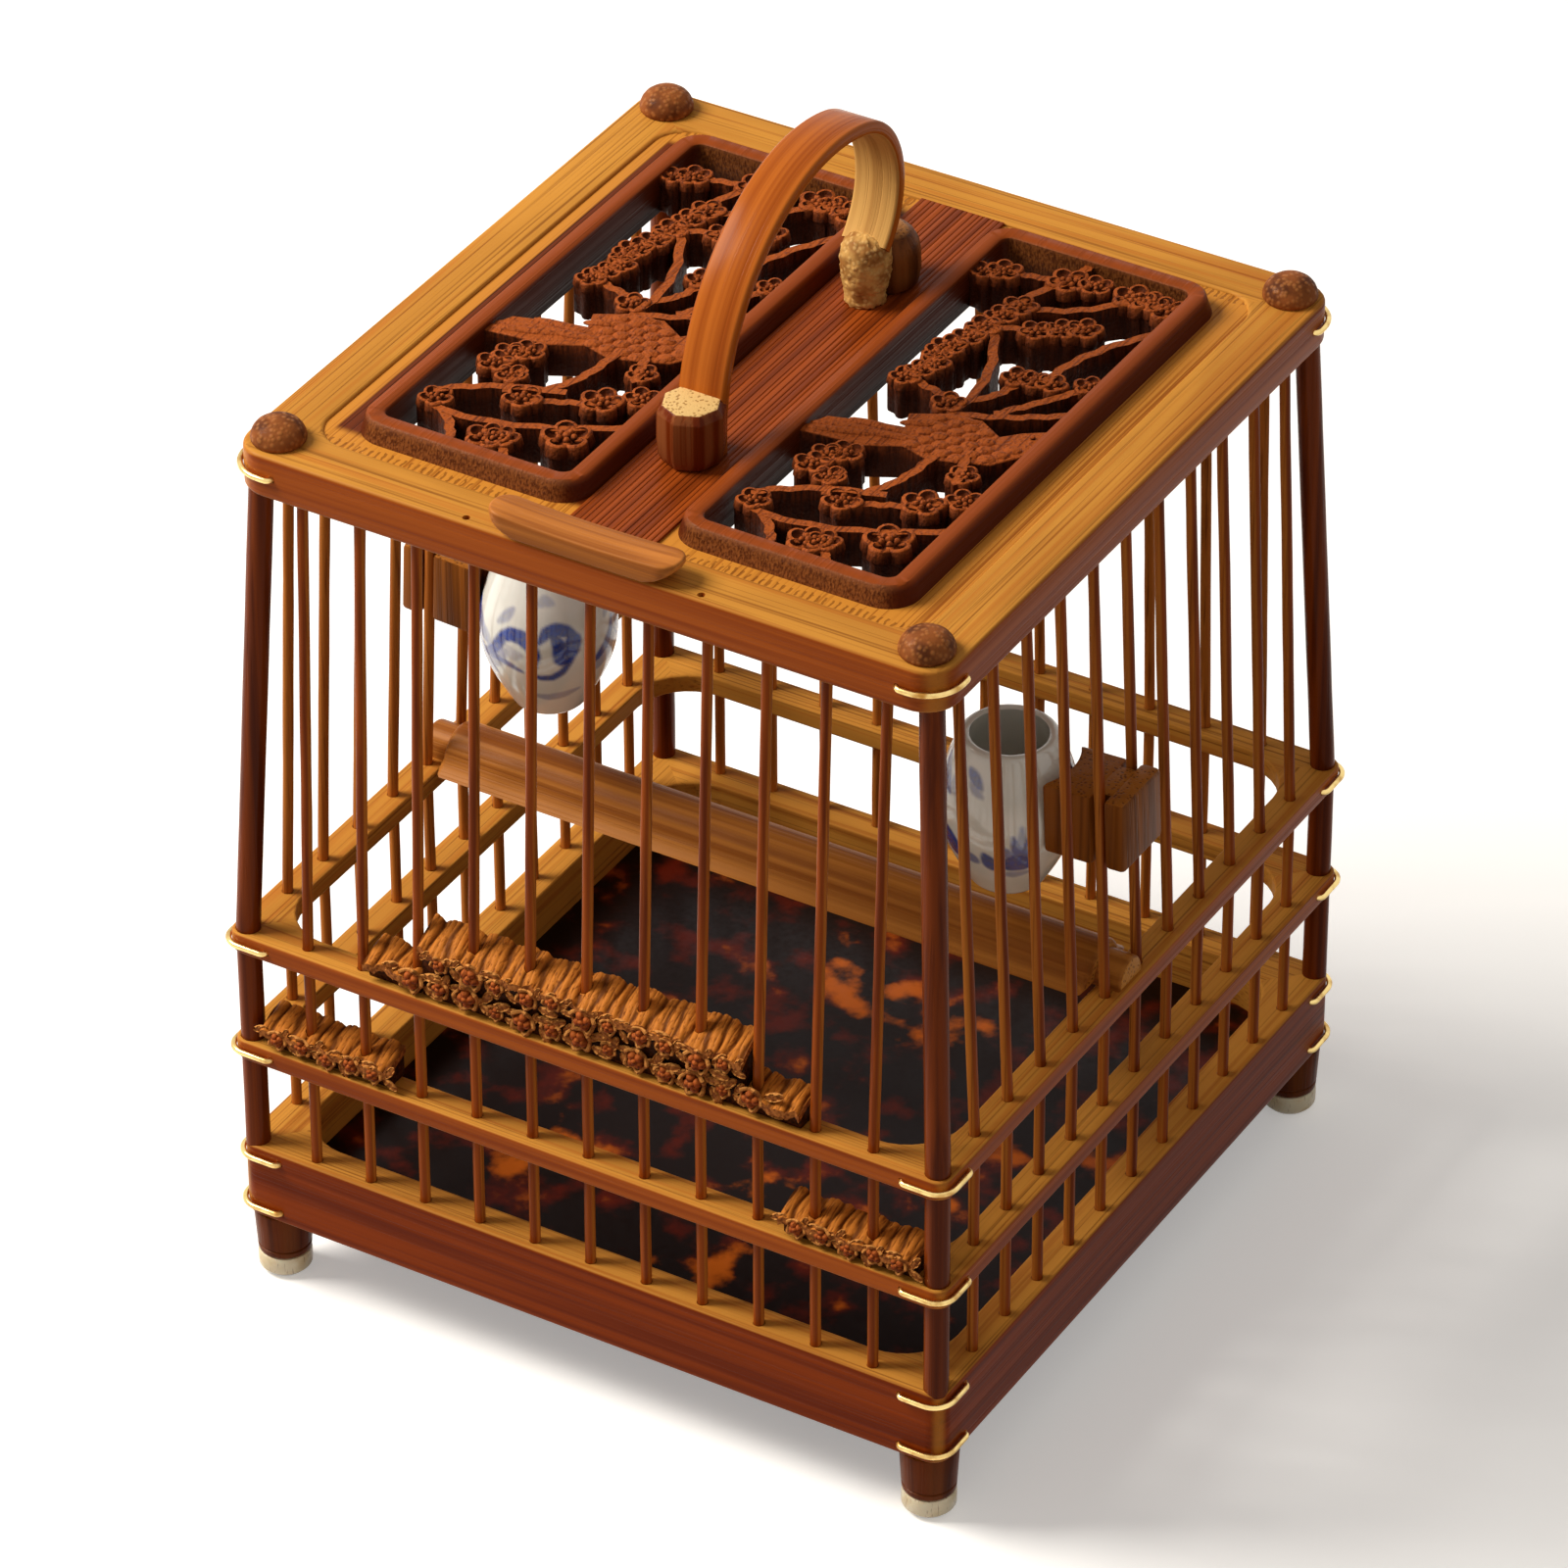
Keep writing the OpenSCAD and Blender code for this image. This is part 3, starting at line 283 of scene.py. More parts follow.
def survey(place, order):
    """What a fibrous finish reads at a point: its place and normal by axis and the fibre's marks.

    The order names the axes with that of the fibres first; an empty one takes the grain laid on the mesh."""
    apart = shade("SeparateXYZ", {0: place})
    normal = shade("SeparateXYZ", {0: place.node.outputs["Normal"]})
    if order:
        along = shade("CombineXYZ", {number: apart["XYZ".index(axis)] for number, axis in enumerate(order)})[0]
    else:
        along = shade("Attribute", tree=place.id_data, attribute_name="grain")["Vector"]
    return apart, normal, shade("Group", {"Along": along}, tree=place.id_data, node_tree=fibre)


FIBRE_ORDER = {"X": "XYZ", "Y": "YZX", "Z": "ZXY", "laid": ""}


def bamboo(name, grain, flesh, line, skin, skin_dark, outward="", gloss=(0.5, 0.3), relief=0.06, arris=0.5):
    """Split bamboo: fibrous flesh with dark strands, and a red-brown skin on the side that faces outwards."""
    finish, place = new_finish(name, Specular_IOR_Level=0.05, Coat_Weight=0.02, Coat_Roughness=0.25)
    apart, normal, marks = survey(place, FIBRE_ORDER[grain])
    turned = [sums("ABSOLUTE", part) for part in normal]
    flat = blend(times(marks["Strand"], 0.75), flesh, line)
    flat = blend(ramp(marks["Tone"], 0, 1, 0.0, 0.25), flat, line)
    flat = blend(ramp(marks["Streak"], 0.4, 1, 0.0, 0.4), flat, skin)
    if outward:
        side = "XY".index(outward)
        on_skin = ramp(times(sums("SIGN", apart[side]), normal[side]), 0.35, 0.8)
    else:
        on_skin = ramp(marks["Streak"], 0.0, 1.0, 0.9, 1.0)
    colour = blend(on_skin, flat, blend(marks["Streak"], skin, skin_dark))
    # Arrises lightened towards the flesh colour: partly wear, partly a painted highlight along the eased edges.
    square = sums("MAXIMUM", sums("MAXIMUM", turned[0], turned[1]), turned[2])
    arris_wear_and_highlight = times(ramp(square, 0.97, 0.78), arris)
    colour = blend(arris_wear_and_highlight, colour, flesh)
    end = 0.0 if grain == "laid" else ramp(turned["XYZ".index(grain)], 0.8, 0.93)
    cut = blend(times(marks["Dots"], 0.75), flesh, line)
    colour = blend(end, colour, cut)
    smoothness = sums("SUBTRACT", on_skin, times(marks["Strand"], 0.3))
    roughness = ramp(smoothness, -0.3, 1, gloss[0] + 0.1, gloss[1])
    hollows = sums("ADD", marks["Strand"], times(marks["Dots"], end))
    height = sums("SUBTRACT", times(marks["Streak"], 0.5), hollows)
    return dress(finish, colour, roughness, height, relief * MM)


CORNERS = ("front_right", "back_right", "back_left", "front_left")
LEG_TURN = ((0, 0), (3.2, 0), (3.42, 0.15), (3.5, 0.45), (3.52, 0.9), (3.38, 1.0), (3.38, 1.15), (3.55, 1.3),
            (3.7, 4.0), (3.84, 6.2), (3.78, 6.6), (3.4, 6.8), (0, 6.8))
leg_x, leg_y, leg_foot = axis_of("leg_front_right")
leg = turn(LEG_TURN, leg_x, leg_y, leg_foot)
dark_bamboo = bamboo("dark_bamboo", "Z", tint(118, 63, 21), tint(56, 22, 6), tint(106, 46, 12), tint(70, 27, 6))
for count, corner in enumerate(CORNERS):
    fit(copy_of(leg, quarter_turn(count)), "turned_leg_" + corner, "cage", "bamboo_skin", dark_bamboo,
        "leg_" + corner)
bpy.data.objects.remove(leg)


# Bone tips
# A short round tip of ivory-coloured bone under each leg, its lower edge slanted.
# Each is pegged up into its leg, and the cage stands on the four of them.

def bone():
    """Ivory-coloured, with brown pores along the tip and a stain here and there."""
    finish, place = new_finish("bone", Subsurface_Weight=0.1, Subsurface_Scale=0.6 * MM, Coat_Weight=0.2)
    pores = ramp(speckle(place, 0.25 * MM, 2, (1, 1, 7)), 0.6, 0.72)
    stain = ramp(speckle(place, 3 * MM, 3), 0.35, 0.75)
    colour = blend(stain, tint(238, 228, 200), tint(214, 192, 146))
    colour = blend(times(pores, 0.6), colour, tint(150, 118, 78))
    return dress(finish, colour, ramp(stain, 0, 1, 0.25, 0.45), pores, -0.03 * MM)


def join(pieces):
    """Makes one object of several."""
    bpy.ops.object.select_all(action="DESELECT")
    for piece in pieces:
        piece.select_set(True)
    bpy.context.view_layer.objects.active = pieces[0]
    bpy.ops.object.join()
    return pieces[0]


def on_corners(piece):
    """One object of a piece at the front right corner and its copies at the other three."""
    return join([piece] + [copy_of(piece, quarter_turn(count)) for count in (1, 2, 3)])


TIP_TURN = ((0, 0), (2.55, 0), (2.75, 0.08), (3.4, 0.74), (3.5, 0.95), (3.52, 2.2), (3.5, 2.9), (3.42, 3.1),
            (3.2, 3.2), (0, 3.2))
fit(on_corners(turn(TIP_TURN, leg_x, leg_y)), "bone_tips", "cage", "bone", bone(), "foot_tips")


# Base rails
# Four deep rails of split bamboo with the red-brown skin outside, mitred at the corners.
# Bored from above for the bars, and drilled in front for the binding wires.

def mitred_rail(low, high, width, corner_r, inner_r, ease):
    """Front rail of a square ring: a round-cornered frame, cut along both mitres, raised, its long edges eased."""
    rail = flat_plate(-low.y, -low.y, corner_r, low.z)
    bpy.ops.mesh.delete(type="ONLY_FACE")
    bpy.ops.mesh.primitive_plane_add(size=2 * (-low.y - width), location=(0, 0, low.z))
    bpy.ops.mesh.bevel(offset=inner_r, segments=8, affect="VERTICES")
    bpy.ops.mesh.delete(type="ONLY_FACE")
    whole()
    bpy.ops.mesh.bridge_edge_loops()
    for side in (1, -1):
        whole()
        bpy.ops.mesh.bisect(plane_co=(0, 0, 0), plane_no=(side, 1, 0), clear_outer=True)
    whole()
    push(0, 0, high.z - low.z)
    whole()
    bpy.ops.mesh.normals_make_consistent(inside=False)

    def at_edge(edge):
        a, b = (v.co for v in edge.verts)
        on_mitre = all(abs(abs(p.x) + p.y) < NEAR for p in (a, b))
        return abs(a.z - b.z) < SAME and not on_mitre and edge.calc_face_angle(0) > 1

    pick(rail, "EDGE", at_edge)
    soften(ease, 4)
    return close_mesh(rail)


def drill(rail, holes):
    """Bores round holes: each has a middle, a direction, a length and a diameter."""
    bits = []
    for middle, direction, length, across in holes:
        bpy.ops.mesh.primitive_cylinder_add(vertices=18, radius=across / 2, depth=length, location=middle,
                                            rotation=Vector(direction).to_track_quat("Z", "Y").to_euler())
        bits.append(bpy.context.object)
    bits = join(bits)
    bpy.ops.object.transform_apply(location=True, rotation=True, scale=True)
    cut_with(rail, bits)
    return rail


def cut_with(piece, cutter):
    """Takes one shape out of another."""
    alone(piece)
    cut = piece.modifiers.new("cut", "BOOLEAN")
    cut.object, cut.operation, cut.solver = cutter, "DIFFERENCE", "EXACT"
    bpy.ops.object.modifier_apply(modifier=cut.name)
    bpy.data.objects.remove(cutter)


UP, BACKWARD = (0, 0, 1), (0, 1, 0)
POST_HALF = 50 * MM
BAR_PITCH = 8.2 * MM
BARS_EACH_WAY = 5
BORE, BAR_HOLE, WIRE_HOLE = 5 * MM, 1.55 * MM, 0.95 * MM
WIRE_REACH = 6 * MM
bar_places = [i * BAR_PITCH for i in range(-BARS_EACH_WAY, BARS_EACH_WAY + 1)]


def wire_bores(outer, heights):
    """Where the ends of the binding wires go into a front rail."""
    return [((side * (outer - WIRE_REACH), -outer, z), BACKWARD, BORE, WIRE_HOLE)
            for side in (-1, 1) for z in heights]


def upright_bores(places, z, across):
    """Where bars or posts stand in a front rail."""
    return [((x, -POST_HALF, z), UP, BORE, across) for x in places]


def both_ways(make):
    """A finish for the front and the back, which run along X and face Y, and one for the other two sides."""
    return {"X": make("X", "Y"), "Y": make("Y", "X")}


def fit_round(piece, name, node, slot, finishes, first=0):
    """Sets a front piece and its copies on the four sides."""
    for count, side in enumerate(("front", "right", "back", "left")):
        if count >= first:
            fit(copy_of(piece, quarter_turn(count)), name + side, "cage", slot, finishes["XY"[count % 2]],
                node + side)
    bpy.data.objects.remove(piece)


BASE_WIDTH, BASE_CORNER, INNER_CORNER, BASE_EASE = 4.8 * MM, 2.4 * MM, 8 * MM, 0.45 * MM
BASE_WIRE_INSET = 1.5 * MM
FLESH, LINE = tint(206, 142, 58), tint(126, 72, 25)
base_low, base_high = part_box("base_rail_front")
base_outer = -base_low.y
base_wires = (base_low.z + BASE_WIRE_INSET, base_high.z - BASE_WIRE_INSET)
base_rail = mitred_rail(base_low, base_high, BASE_WIDTH, BASE_CORNER, INNER_CORNER, BASE_EASE)
drill(base_rail, wire_bores(base_outer, base_wires) + upright_bores(bar_places, base_high.z, BAR_HOLE))
base_finish = both_ways(lambda axis, outward: bamboo(
    "base_bamboo_" + axis, axis, FLESH, LINE, tint(142, 57, 6), tint(106, 36, 3), outward))
fit_round(base_rail, "bamboo_base_", "base_rail_", "bamboo_rails", base_finish)


# Lower and middle rings
# Two slim rings of four mitred bamboo rails that hold the bars and posts in line.
# Every bar passes through its own hole, and a brass wire binds each corner.

RING_WIDTH, RING_EASE = 4.2 * MM, 0.35 * MM
POST_HOLE = 3.3 * MM
rail_finish = both_ways(lambda axis, outward: bamboo(
    "split_bamboo_" + axis, axis, FLESH, LINE, tint(172, 86, 27), tint(138, 60, 15), outward))
ring_wires = {}
for ring in ("lower_rail_", "middle_rail_"):
    ring_low, ring_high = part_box(ring + "front")
    ring_outer, ring_mid = -ring_low.y, (ring_low.z + ring_high.z) / 2
    ring_wires[ring] = ring_mid
    rail = mitred_rail(ring_low, ring_high, RING_WIDTH, RING_WIDTH / 2, INNER_CORNER, RING_EASE)
    drill(rail, wire_bores(ring_outer, [ring_mid]) + upright_bores(bar_places, ring_mid, BAR_HOLE)
          + upright_bores((-POST_HALF, POST_HALF), ring_mid, POST_HOLE))
    fit_round(rail, "bamboo_" + ring, ring, "bamboo_rails", rail_finish)
middle_top = ring_high.z


# Top frame
# Four wide rails of split bamboo, mitred, with the pale flesh on top and the skin outside.
# The front one has three guide holes for the door's bars and a small hole on each side of the pull.

FRAME_WIDTH, FRAME_CORNER, FRAME_INNER_CORNER, FRAME_EASE = 7 * MM, 4.4 * MM, 5 * MM, 0.6 * MM
LEAN = math.atan(3 / 66)
PIN_HOLE, PIN_PLACE, PIN_INSET, PIN_DEPTH = 1 * MM, 16.4 * MM, 1.2 * MM, 2 * MM
GUIDE_HOLE, THROUGH = 1.6 * MM, 12 * MM
DOOR_BARS = (-BAR_PITCH, 0, BAR_PITCH)
leaned = Vector((0, math.sin(LEAN), math.cos(LEAN)))
top_low, top_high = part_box("top_rail_front")
top_outer, top_wire = -top_low.y, (top_low.z + top_high.z) / 2


def on_lean(x, z):
    """Point on the leaning line of a front bar at a height above the middle ring."""
    return Vector((x, -POST_HALF + (z - middle_top) * math.tan(LEAN), z))


def top_rail(guides):
    """A rail of the top frame with blind holes for its bars, and open ones where they are guides."""
    rail = mitred_rail(top_low, top_high, FRAME_WIDTH, FRAME_CORNER, FRAME_INNER_CORNER, FRAME_EASE)
    holes = wire_bores(top_outer, [top_wire])
    holes += [(on_lean(x, top_low.z), leaned, BORE, BAR_HOLE) for x in bar_places if x not in guides]
    holes += [(on_lean(x, top_wire), leaned, THROUGH, GUIDE_HOLE) for x in guides]
    holes += [((side * PIN_PLACE, PIN_INSET - top_outer, top_high.z), UP, 2 * PIN_DEPTH, PIN_HOLE)
              for side in (-1, 1) if guides]
    return drill(rail, holes)


fit(top_rail(DOOR_BARS), "bamboo_top_rail_front", "cage", "bamboo_rails", rail_finish["X"], "top_rail_front")
fit_round(top_rail(()), "bamboo_top_rail_", "top_rail_", "bamboo_rails", rail_finish, 1)


# Corner posts and bars
# Round bamboo splints, drawn through a plate and stained red-brown, a little uneven along their length.
# They stand in the base, pass through both rings, and lean in from the middle ring up to the top frame.

BAR_SEAT, POST_SEAT, ROD_STEP = 2.5 * MM, 0.5 * MM, 4 * MM
BAR_R, POST_R = 0.7 * MM, 1.6 * MM
BAR_SWELL, BAR_WANDER, POST_SWELL = 0.05, 0.05 * MM, 0.025
SILL_SEED, POST_SEED = 90, 300


def rod(foot, bend, head, radius, sides=14):
    """A round splint from its foot up to a bend and on to its head, ringed every few millimetres."""
    piece = fresh(bpy.ops.mesh.primitive_circle_add, vertices=sides, radius=radius, fill_type="NGON", location=foot)
    open_mesh(piece)
    for start, end in ((foot, bend), (bend, head)):
        run = Vector(end) - Vector(start)
        if run.length > NEAR:
            count = max(1, round(run.length / ROD_STEP))
            for _ in range(count):
                push(*(run / count))
    return close_mesh(piece)


def drawn_by_hand(piece, seed, swell, wander=0.0):
    """Gives a splint a slightly uneven girth and line, different for each seed."""
    rings = {}
    for vertex in piece.data.vertices:
        rings.setdefault(round(vertex.co.z, 4), []).append(vertex)
    for z, ring in rings.items():
        middle = sum((v.co for v in ring), Vector()) / len(ring)
        girth = 1 + swell * noise.noise((seed * 7.1, 0, z * 130))
        aside, ahead = (noise.noise((seed * 3.7, row, z * 60)) for row in (5, 9))
        for vertex in ring:
            vertex.co = middle + wander * Vector((aside, ahead, 0)) + (vertex.co - middle) * girth
    return piece


bar_foot, bar_head = base_high.z - BAR_SEAT, top_low.z + BAR_SEAT
bar = rod((0, -POST_HALF, bar_foot), (0, -POST_HALF, middle_top), on_lean(0, bar_head), BAR_R)
bar_finish = both_ways(lambda axis, outward: bamboo(
    "bar_splint_" + outward, "Z", tint(190, 116, 46), tint(106, 52, 15), tint(154, 73, 19), tint(108, 44, 10), outward,
    gloss=(0.45, 0.28), relief=0.05, arris=0.0))


def bar_row(places, side, seed):
    """A row of bars on one side, each a little different."""
    row = []
    for number, x in enumerate(places):
        splint = copy_of(bar, Matrix.Translation((x, 0, 0)))
        drawn_by_hand(splint, seed + number, BAR_SWELL, BAR_WANDER)
        splint.data.transform(quarter_turn(side))
        row.append(splint)
    return join(row)


for name, places, side in (("front_bars_left", bar_places[:4], 0), ("front_bars_right", bar_places[7:], 0),
                           ("right_bars", bar_places, 1), ("back_bars", bar_places, 2), ("left_bars", bar_places, 3)):
    fit(bar_row(places, side, 20 * side + len(name)), "splints_" + name, "cage", "bamboo_bars",
        bar_finish["XY"[side % 2]], name, smooth=60)
bpy.data.objects.remove(bar)

sill_rods = []
for number, x in enumerate(DOOR_BARS):
    sill_top = (x, -POST_HALF, middle_top)
    sill_rods.append(rod((x, -POST_HALF, bar_foot), sill_top, sill_top, BAR_R))
    drawn_by_hand(sill_rods[-1], SILL_SEED + number, BAR_SWELL, BAR_WANDER)
fit(join(sill_rods), "splints_sill_bars", "cage", "bamboo_bars", bar_finish["X"], "sill_bars", smooth=60)

post_head = POST_HALF - (bar_head - middle_top) * math.tan(LEAN)
post = rod((POST_HALF, -POST_HALF, base_high.z - POST_SEAT), (POST_HALF, -POST_HALF, middle_top),
           (post_head, -post_head, bar_head), POST_R, 24)
# The posts take darker copies of the bars' colours: painted shade.
post_shade_finish = bamboo("corner_post_splint", "Z", tint(150, 80, 29), tint(84, 37, 10), tint(122, 52, 12),
                     tint(82, 31, 7), gloss=(0.45, 0.25), relief=0.05, arris=0.0)
for count, corner in enumerate(CORNERS):
    splint = drawn_by_hand(copy_of(post, quarter_turn(count)), POST_SEED + count, POST_SWELL)
    fit(splint, "splint_post_" + corner, "cage", "bamboo_bars", post_shade_finish, "corner_post_" + corner, smooth=60)
bpy.data.objects.remove(post)


# Binding wires
# Thin brass wire bent round each corner of the base, the rings and the top frame.
# Its ends are turned in and pressed into small holes in the two rails that it ties.

WIRE_R, WIRE_SEAT, WIRE_GAP, WIRE_BEND = 0.4 * MM, 2.2 * MM, 0.05 * MM, 0.7 * MM


def binding_wire(outer, corner_r, z):
    """One wire round the front right corner, from end to end."""
    run = outer + WIRE_R + WIRE_GAP
    end, bow = outer - WIRE_REACH, outer - corner_r
    inward = WIRE_SEAT + WIRE_R + WIRE_GAP - WIRE_BEND
    straight = bow - end - WIRE_BEND
    wire = fresh(bpy.ops.mesh.primitive_circle_add, vertices=10, radius=WIRE_R, fill_type="NGON",
                 location=(end, WIRE_SEAT - outer, z), rotation=(math.pi / 2, 0, 0))
    open_mesh(wire)
    push(0, -inward, 0)
    for centre, steps, onward in (((end + WIRE_BEND, WIRE_BEND - run, z), 5, (straight, 0, 0)),
                                  ((bow, -bow, z), 10, (0, straight, 0)),
                                  ((run - WIRE_BEND, -end - WIRE_BEND, z), 5, (-inward, 0, 0))):
        bpy.ops.mesh.spin(steps=steps, angle=-math.pi / 2, center=centre, axis=(0, 0, 1))
        push(*onward)
    return close_mesh(wire)


def brass():
    """Drawn wire, bright in places and dulled in others."""
    finish, place = new_finish("brass_wire", Metallic=1.0)
    dull = ramp(speckle(place, 2.2 * MM, 3), 0.4, 0.75)
    colour = blend(dull, tint(246, 214, 140), tint(176, 124, 56))
    draw_marks = speckle(place, 0.2 * MM, 2)
    return dress(finish, colour, ramp(dull, 0, 1, 0.18, 0.42), draw_marks, 0.02 * MM, 0.3)


brass_finish = brass()
for name, outer, corner_r, z in (("base_lower_wires", base_outer, BASE_CORNER, base_wires[0]),
                                 ("base_upper_wires", base_outer, BASE_CORNER, base_wires[1]),
                                 ("lower_wires", ring_outer, RING_WIDTH / 2, ring_wires["lower_rail_"]),
                                 ("middle_wires", ring_outer, RING_WIDTH / 2, ring_wires["middle_rail_"]),
                                 ("top_wires", top_outer, FRAME_CORNER, top_wire)):
    fit(on_corners(binding_wire(outer, corner_r, z)), "brass_" + name, "cage", "brass_wire", brass_finish, name,
        smooth=60)


# Corner finials
# Four low domes cut from bamboo root, brown and speckled, with a narrow collar round the foot.
# Each is pegged down into a corner of the top frame.

FINIAL_TURN = ((0, -0.2), (3.1, -0.2), (3.3, 0.0), (3.48, 0.25), (3.5, 0.6), (3.42, 1.0), (3.2, 1.55), (2.8, 2.1),
               (2.2, 2.55), (1.5, 2.83), (0.75, 2.96), (0, 3.0))
FINIAL_PLACE = 45.3 * MM


def speckled_root(name, pale, dark, speck):
    """Bamboo root: cloudy brown with a close pattern of lighter grains between fine pits."""
    finish, place = new_finish(name, Specular_IOR_Level=0.08, Coat_Weight=0.02)
    cells = shade("TexVoronoi", {"Vector": spread_out(place, (1500, 1500, 1500)), "Scale": 1.0})[0]
    grains = ramp(cells, 0.15, 0.6)
    clouds = ramp(speckle(place, 3 * MM, 3), 0.35, 0.7)
    colour = blend(clouds, pale, dark)
    colour = blend(times(sums("SUBTRACT", 1.0, grains), 0.5), colour, speck)
    return dress(finish, colour, ramp(grains, 0, 1, 0.42, 0.6), grains, -0.08 * MM, 0.7)


root_finish = speckled_root("speckled_root", tint(142, 79, 36), tint(80, 38, 14), tint(180, 115, 60))
finials = on_corners(turn(FINIAL_TURN, FINIAL_PLACE, -FINIAL_PLACE, top_high.z))
fit(finials, "root_finials", "cage", "bamboo_skin", root_finish, "corner_finials", smooth=60)


# Centre bar of the lid
# A flat red-brown bamboo bar from the front rail to the back rail, scraped into fine lengthwise reeds.
# The carved panels are tongued into its sides, and the handle's pegs come up through it.

bar_low, bar_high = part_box("centre_bar")
BAR_HALF = 6 * MM
FRAME_INNER = 42.7 * MM
REEDS = (-5.4, -4.5, -3.9, -3.1, -2.2, -1.6, -0.7, 0.2, 0.8, 1.7, 2.5, 3.1, 4.0, 4.6, 5.4)
REED_WIDTH, REED_DEPTH, REED_EASE = 0.2 * MM, 0.08 * MM, 0.06 * MM
PEG_PLACES, PEG_HOLE = (-23.4 * MM, 23.42 * MM), 3.1 * MM


def score(places):
    """Divides the open piece along lines at some places of X."""
    for x in places:
        whole()
        bpy.ops.mesh.bisect(plane_co=(x, 0, 0), plane_no=(1, 0, 0))


def in_reed(face):
    middle = face.calc_center_median()
    return face.normal.z > 0.9 and any(abs(middle.x - reed * MM) < REED_WIDTH / 4 for reed in REEDS)


def beside_reed(edge):
    a, b = (v.co for v in edge.verts)
    at_top = min(a.z, b.z) > bar_high.z - NEAR
    return at_top and abs(a.x - b.x) < SAME and edge.calc_face_angle(0) > 1


centre_bar = fresh(bpy.ops.mesh.primitive_cube_add, size=2)
open_mesh(centre_bar)
bpy.ops.transform.resize(value=(BAR_HALF, FRAME_INNER, (bar_high.z - bar_low.z) / 2))
bpy.ops.transform.translate(value=(0, 0, (bar_high.z + bar_low.z) / 2))
score([reed * MM + side * REED_WIDTH for reed in REEDS for side in (-0.5, 0.5)])
pick(centre_bar, "FACE", in_reed)
push(0, 0, -REED_DEPTH)
pick(centre_bar, "EDGE", beside_reed)
soften(REED_EASE, 2)
drill(close_mesh(centre_bar), [((0, place, bar_low.z), UP, THROUGH, PEG_HOLE) for place in PEG_PLACES])
reeded = bamboo("reeded_bar", "Y", tint(164, 78, 26), tint(88, 36, 9), tint(154, 70, 21), tint(112, 46, 12))
fit(centre_bar, "reeded_centre_bar", "cage", "bamboo_skin", reeded, "centre_bar")


# Carved lid panels
# Two boards of red-brown bamboo, each with a raised moulding round a deep pierced carving of plum blossom,
# branches and a magpie, sawn out with straight walls. They are tongued into the frame and the centre bar.

BOARD_TOP, BOARD_LOW = top_high.z - 0.4 * MM, top_high.z - 3.4 * MM
BORDER_TOP = BOARD_TOP + 2.7 * MM
CARVING_TOP = BORDER_TOP - 0.7 * MM
BORDER_MID, BORDER_HALF_X, BORDER_HALF_Y, BORDER_R = 22.55 * MM, 15.55 * MM, 39.3 * MM, 3.6 * MM
CARVING_X, CARVING_Y = 13.15 * MM, 36.9 * MM
SKIRT, RABBET, OPENING_R, OPENING_DEEP = 0.9 * MM, 1.2 * MM, 2.4 * MM, 6 * MM
BLOSSOM_R, BLOSSOM_TURN, LOBE_EDGE = 3.2 * MM, 1.7, 0.1 * MM
PETAL_R, PETAL_TALL, PETAL_OUT, PETAL_DROP, PETAL_TILT, HOLLOW_R = 0.44, 0.42, 0.58, 0.38, 0.22, 0.34
PETAL_INSETS = ((0.04, 0.05), (0.1, 0.02), (0.07, -0.14), (0.09, -0.07))
BRANCH_R, BRANCH_STEP, CROOK = 0.6 * MM, 0.04 * MM, 0.16 * MM
BIRD_EDGE, BIRD_DROP, FEATHER_DROP, EYE_DROP = 0.3 * MM, 0.2 * MM, 0.25 * MM, 0.1 * MM
BLOSSOMS = (
    (-0.77, -0.80, 0.80), (0.00, -0.92, 1.00), (0.63, -0.79, 1.12), (-0.07, -0.66, 0.92), (0.60, -0.55, 1.00),
    (0.90, -0.47, 0.85), (0.68, -0.34, 0.75), (-0.62, -0.52, 0.85), (-0.45, -0.41, 0.85), (-0.37, -0.56, 0.75),
    (-0.05, 0.02, 0.80), (-0.62, 0.09, 0.75), (-0.50, 0.21, 0.75), (-0.53, 0.33, 0.85), (-0.42, 0.49, 0.85),
    (-0.30, 0.66, 0.85), (-0.74, 0.83, 0.85), (-0.12, 0.88, 1.00), (0.55, 0.90, 1.00), (0.92, 0.89, 0.95),
    (0.04, 0.55, 0.80), (0.42, 0.64, 0.85), (0.30, 0.27, 0.80), (0.62, 0.29, 0.75), (0.95, 0.34, 0.75),
    (-0.56, 0.15, 0.72), (-0.56, 0.27, 0.75), (-0.45, 0.41, 0.80), (-0.37, 0.58, 0.80), (-0.58, -0.45, 0.80),
    (0.24, 0.60, 0.80), (0.46, 0.28, 0.72), (0.72, 0.90, 0.85), (0.14, 0.90, 0.80), (-0.90, 0.80, 0.72),
    (0.13, -0.90, 0.80))
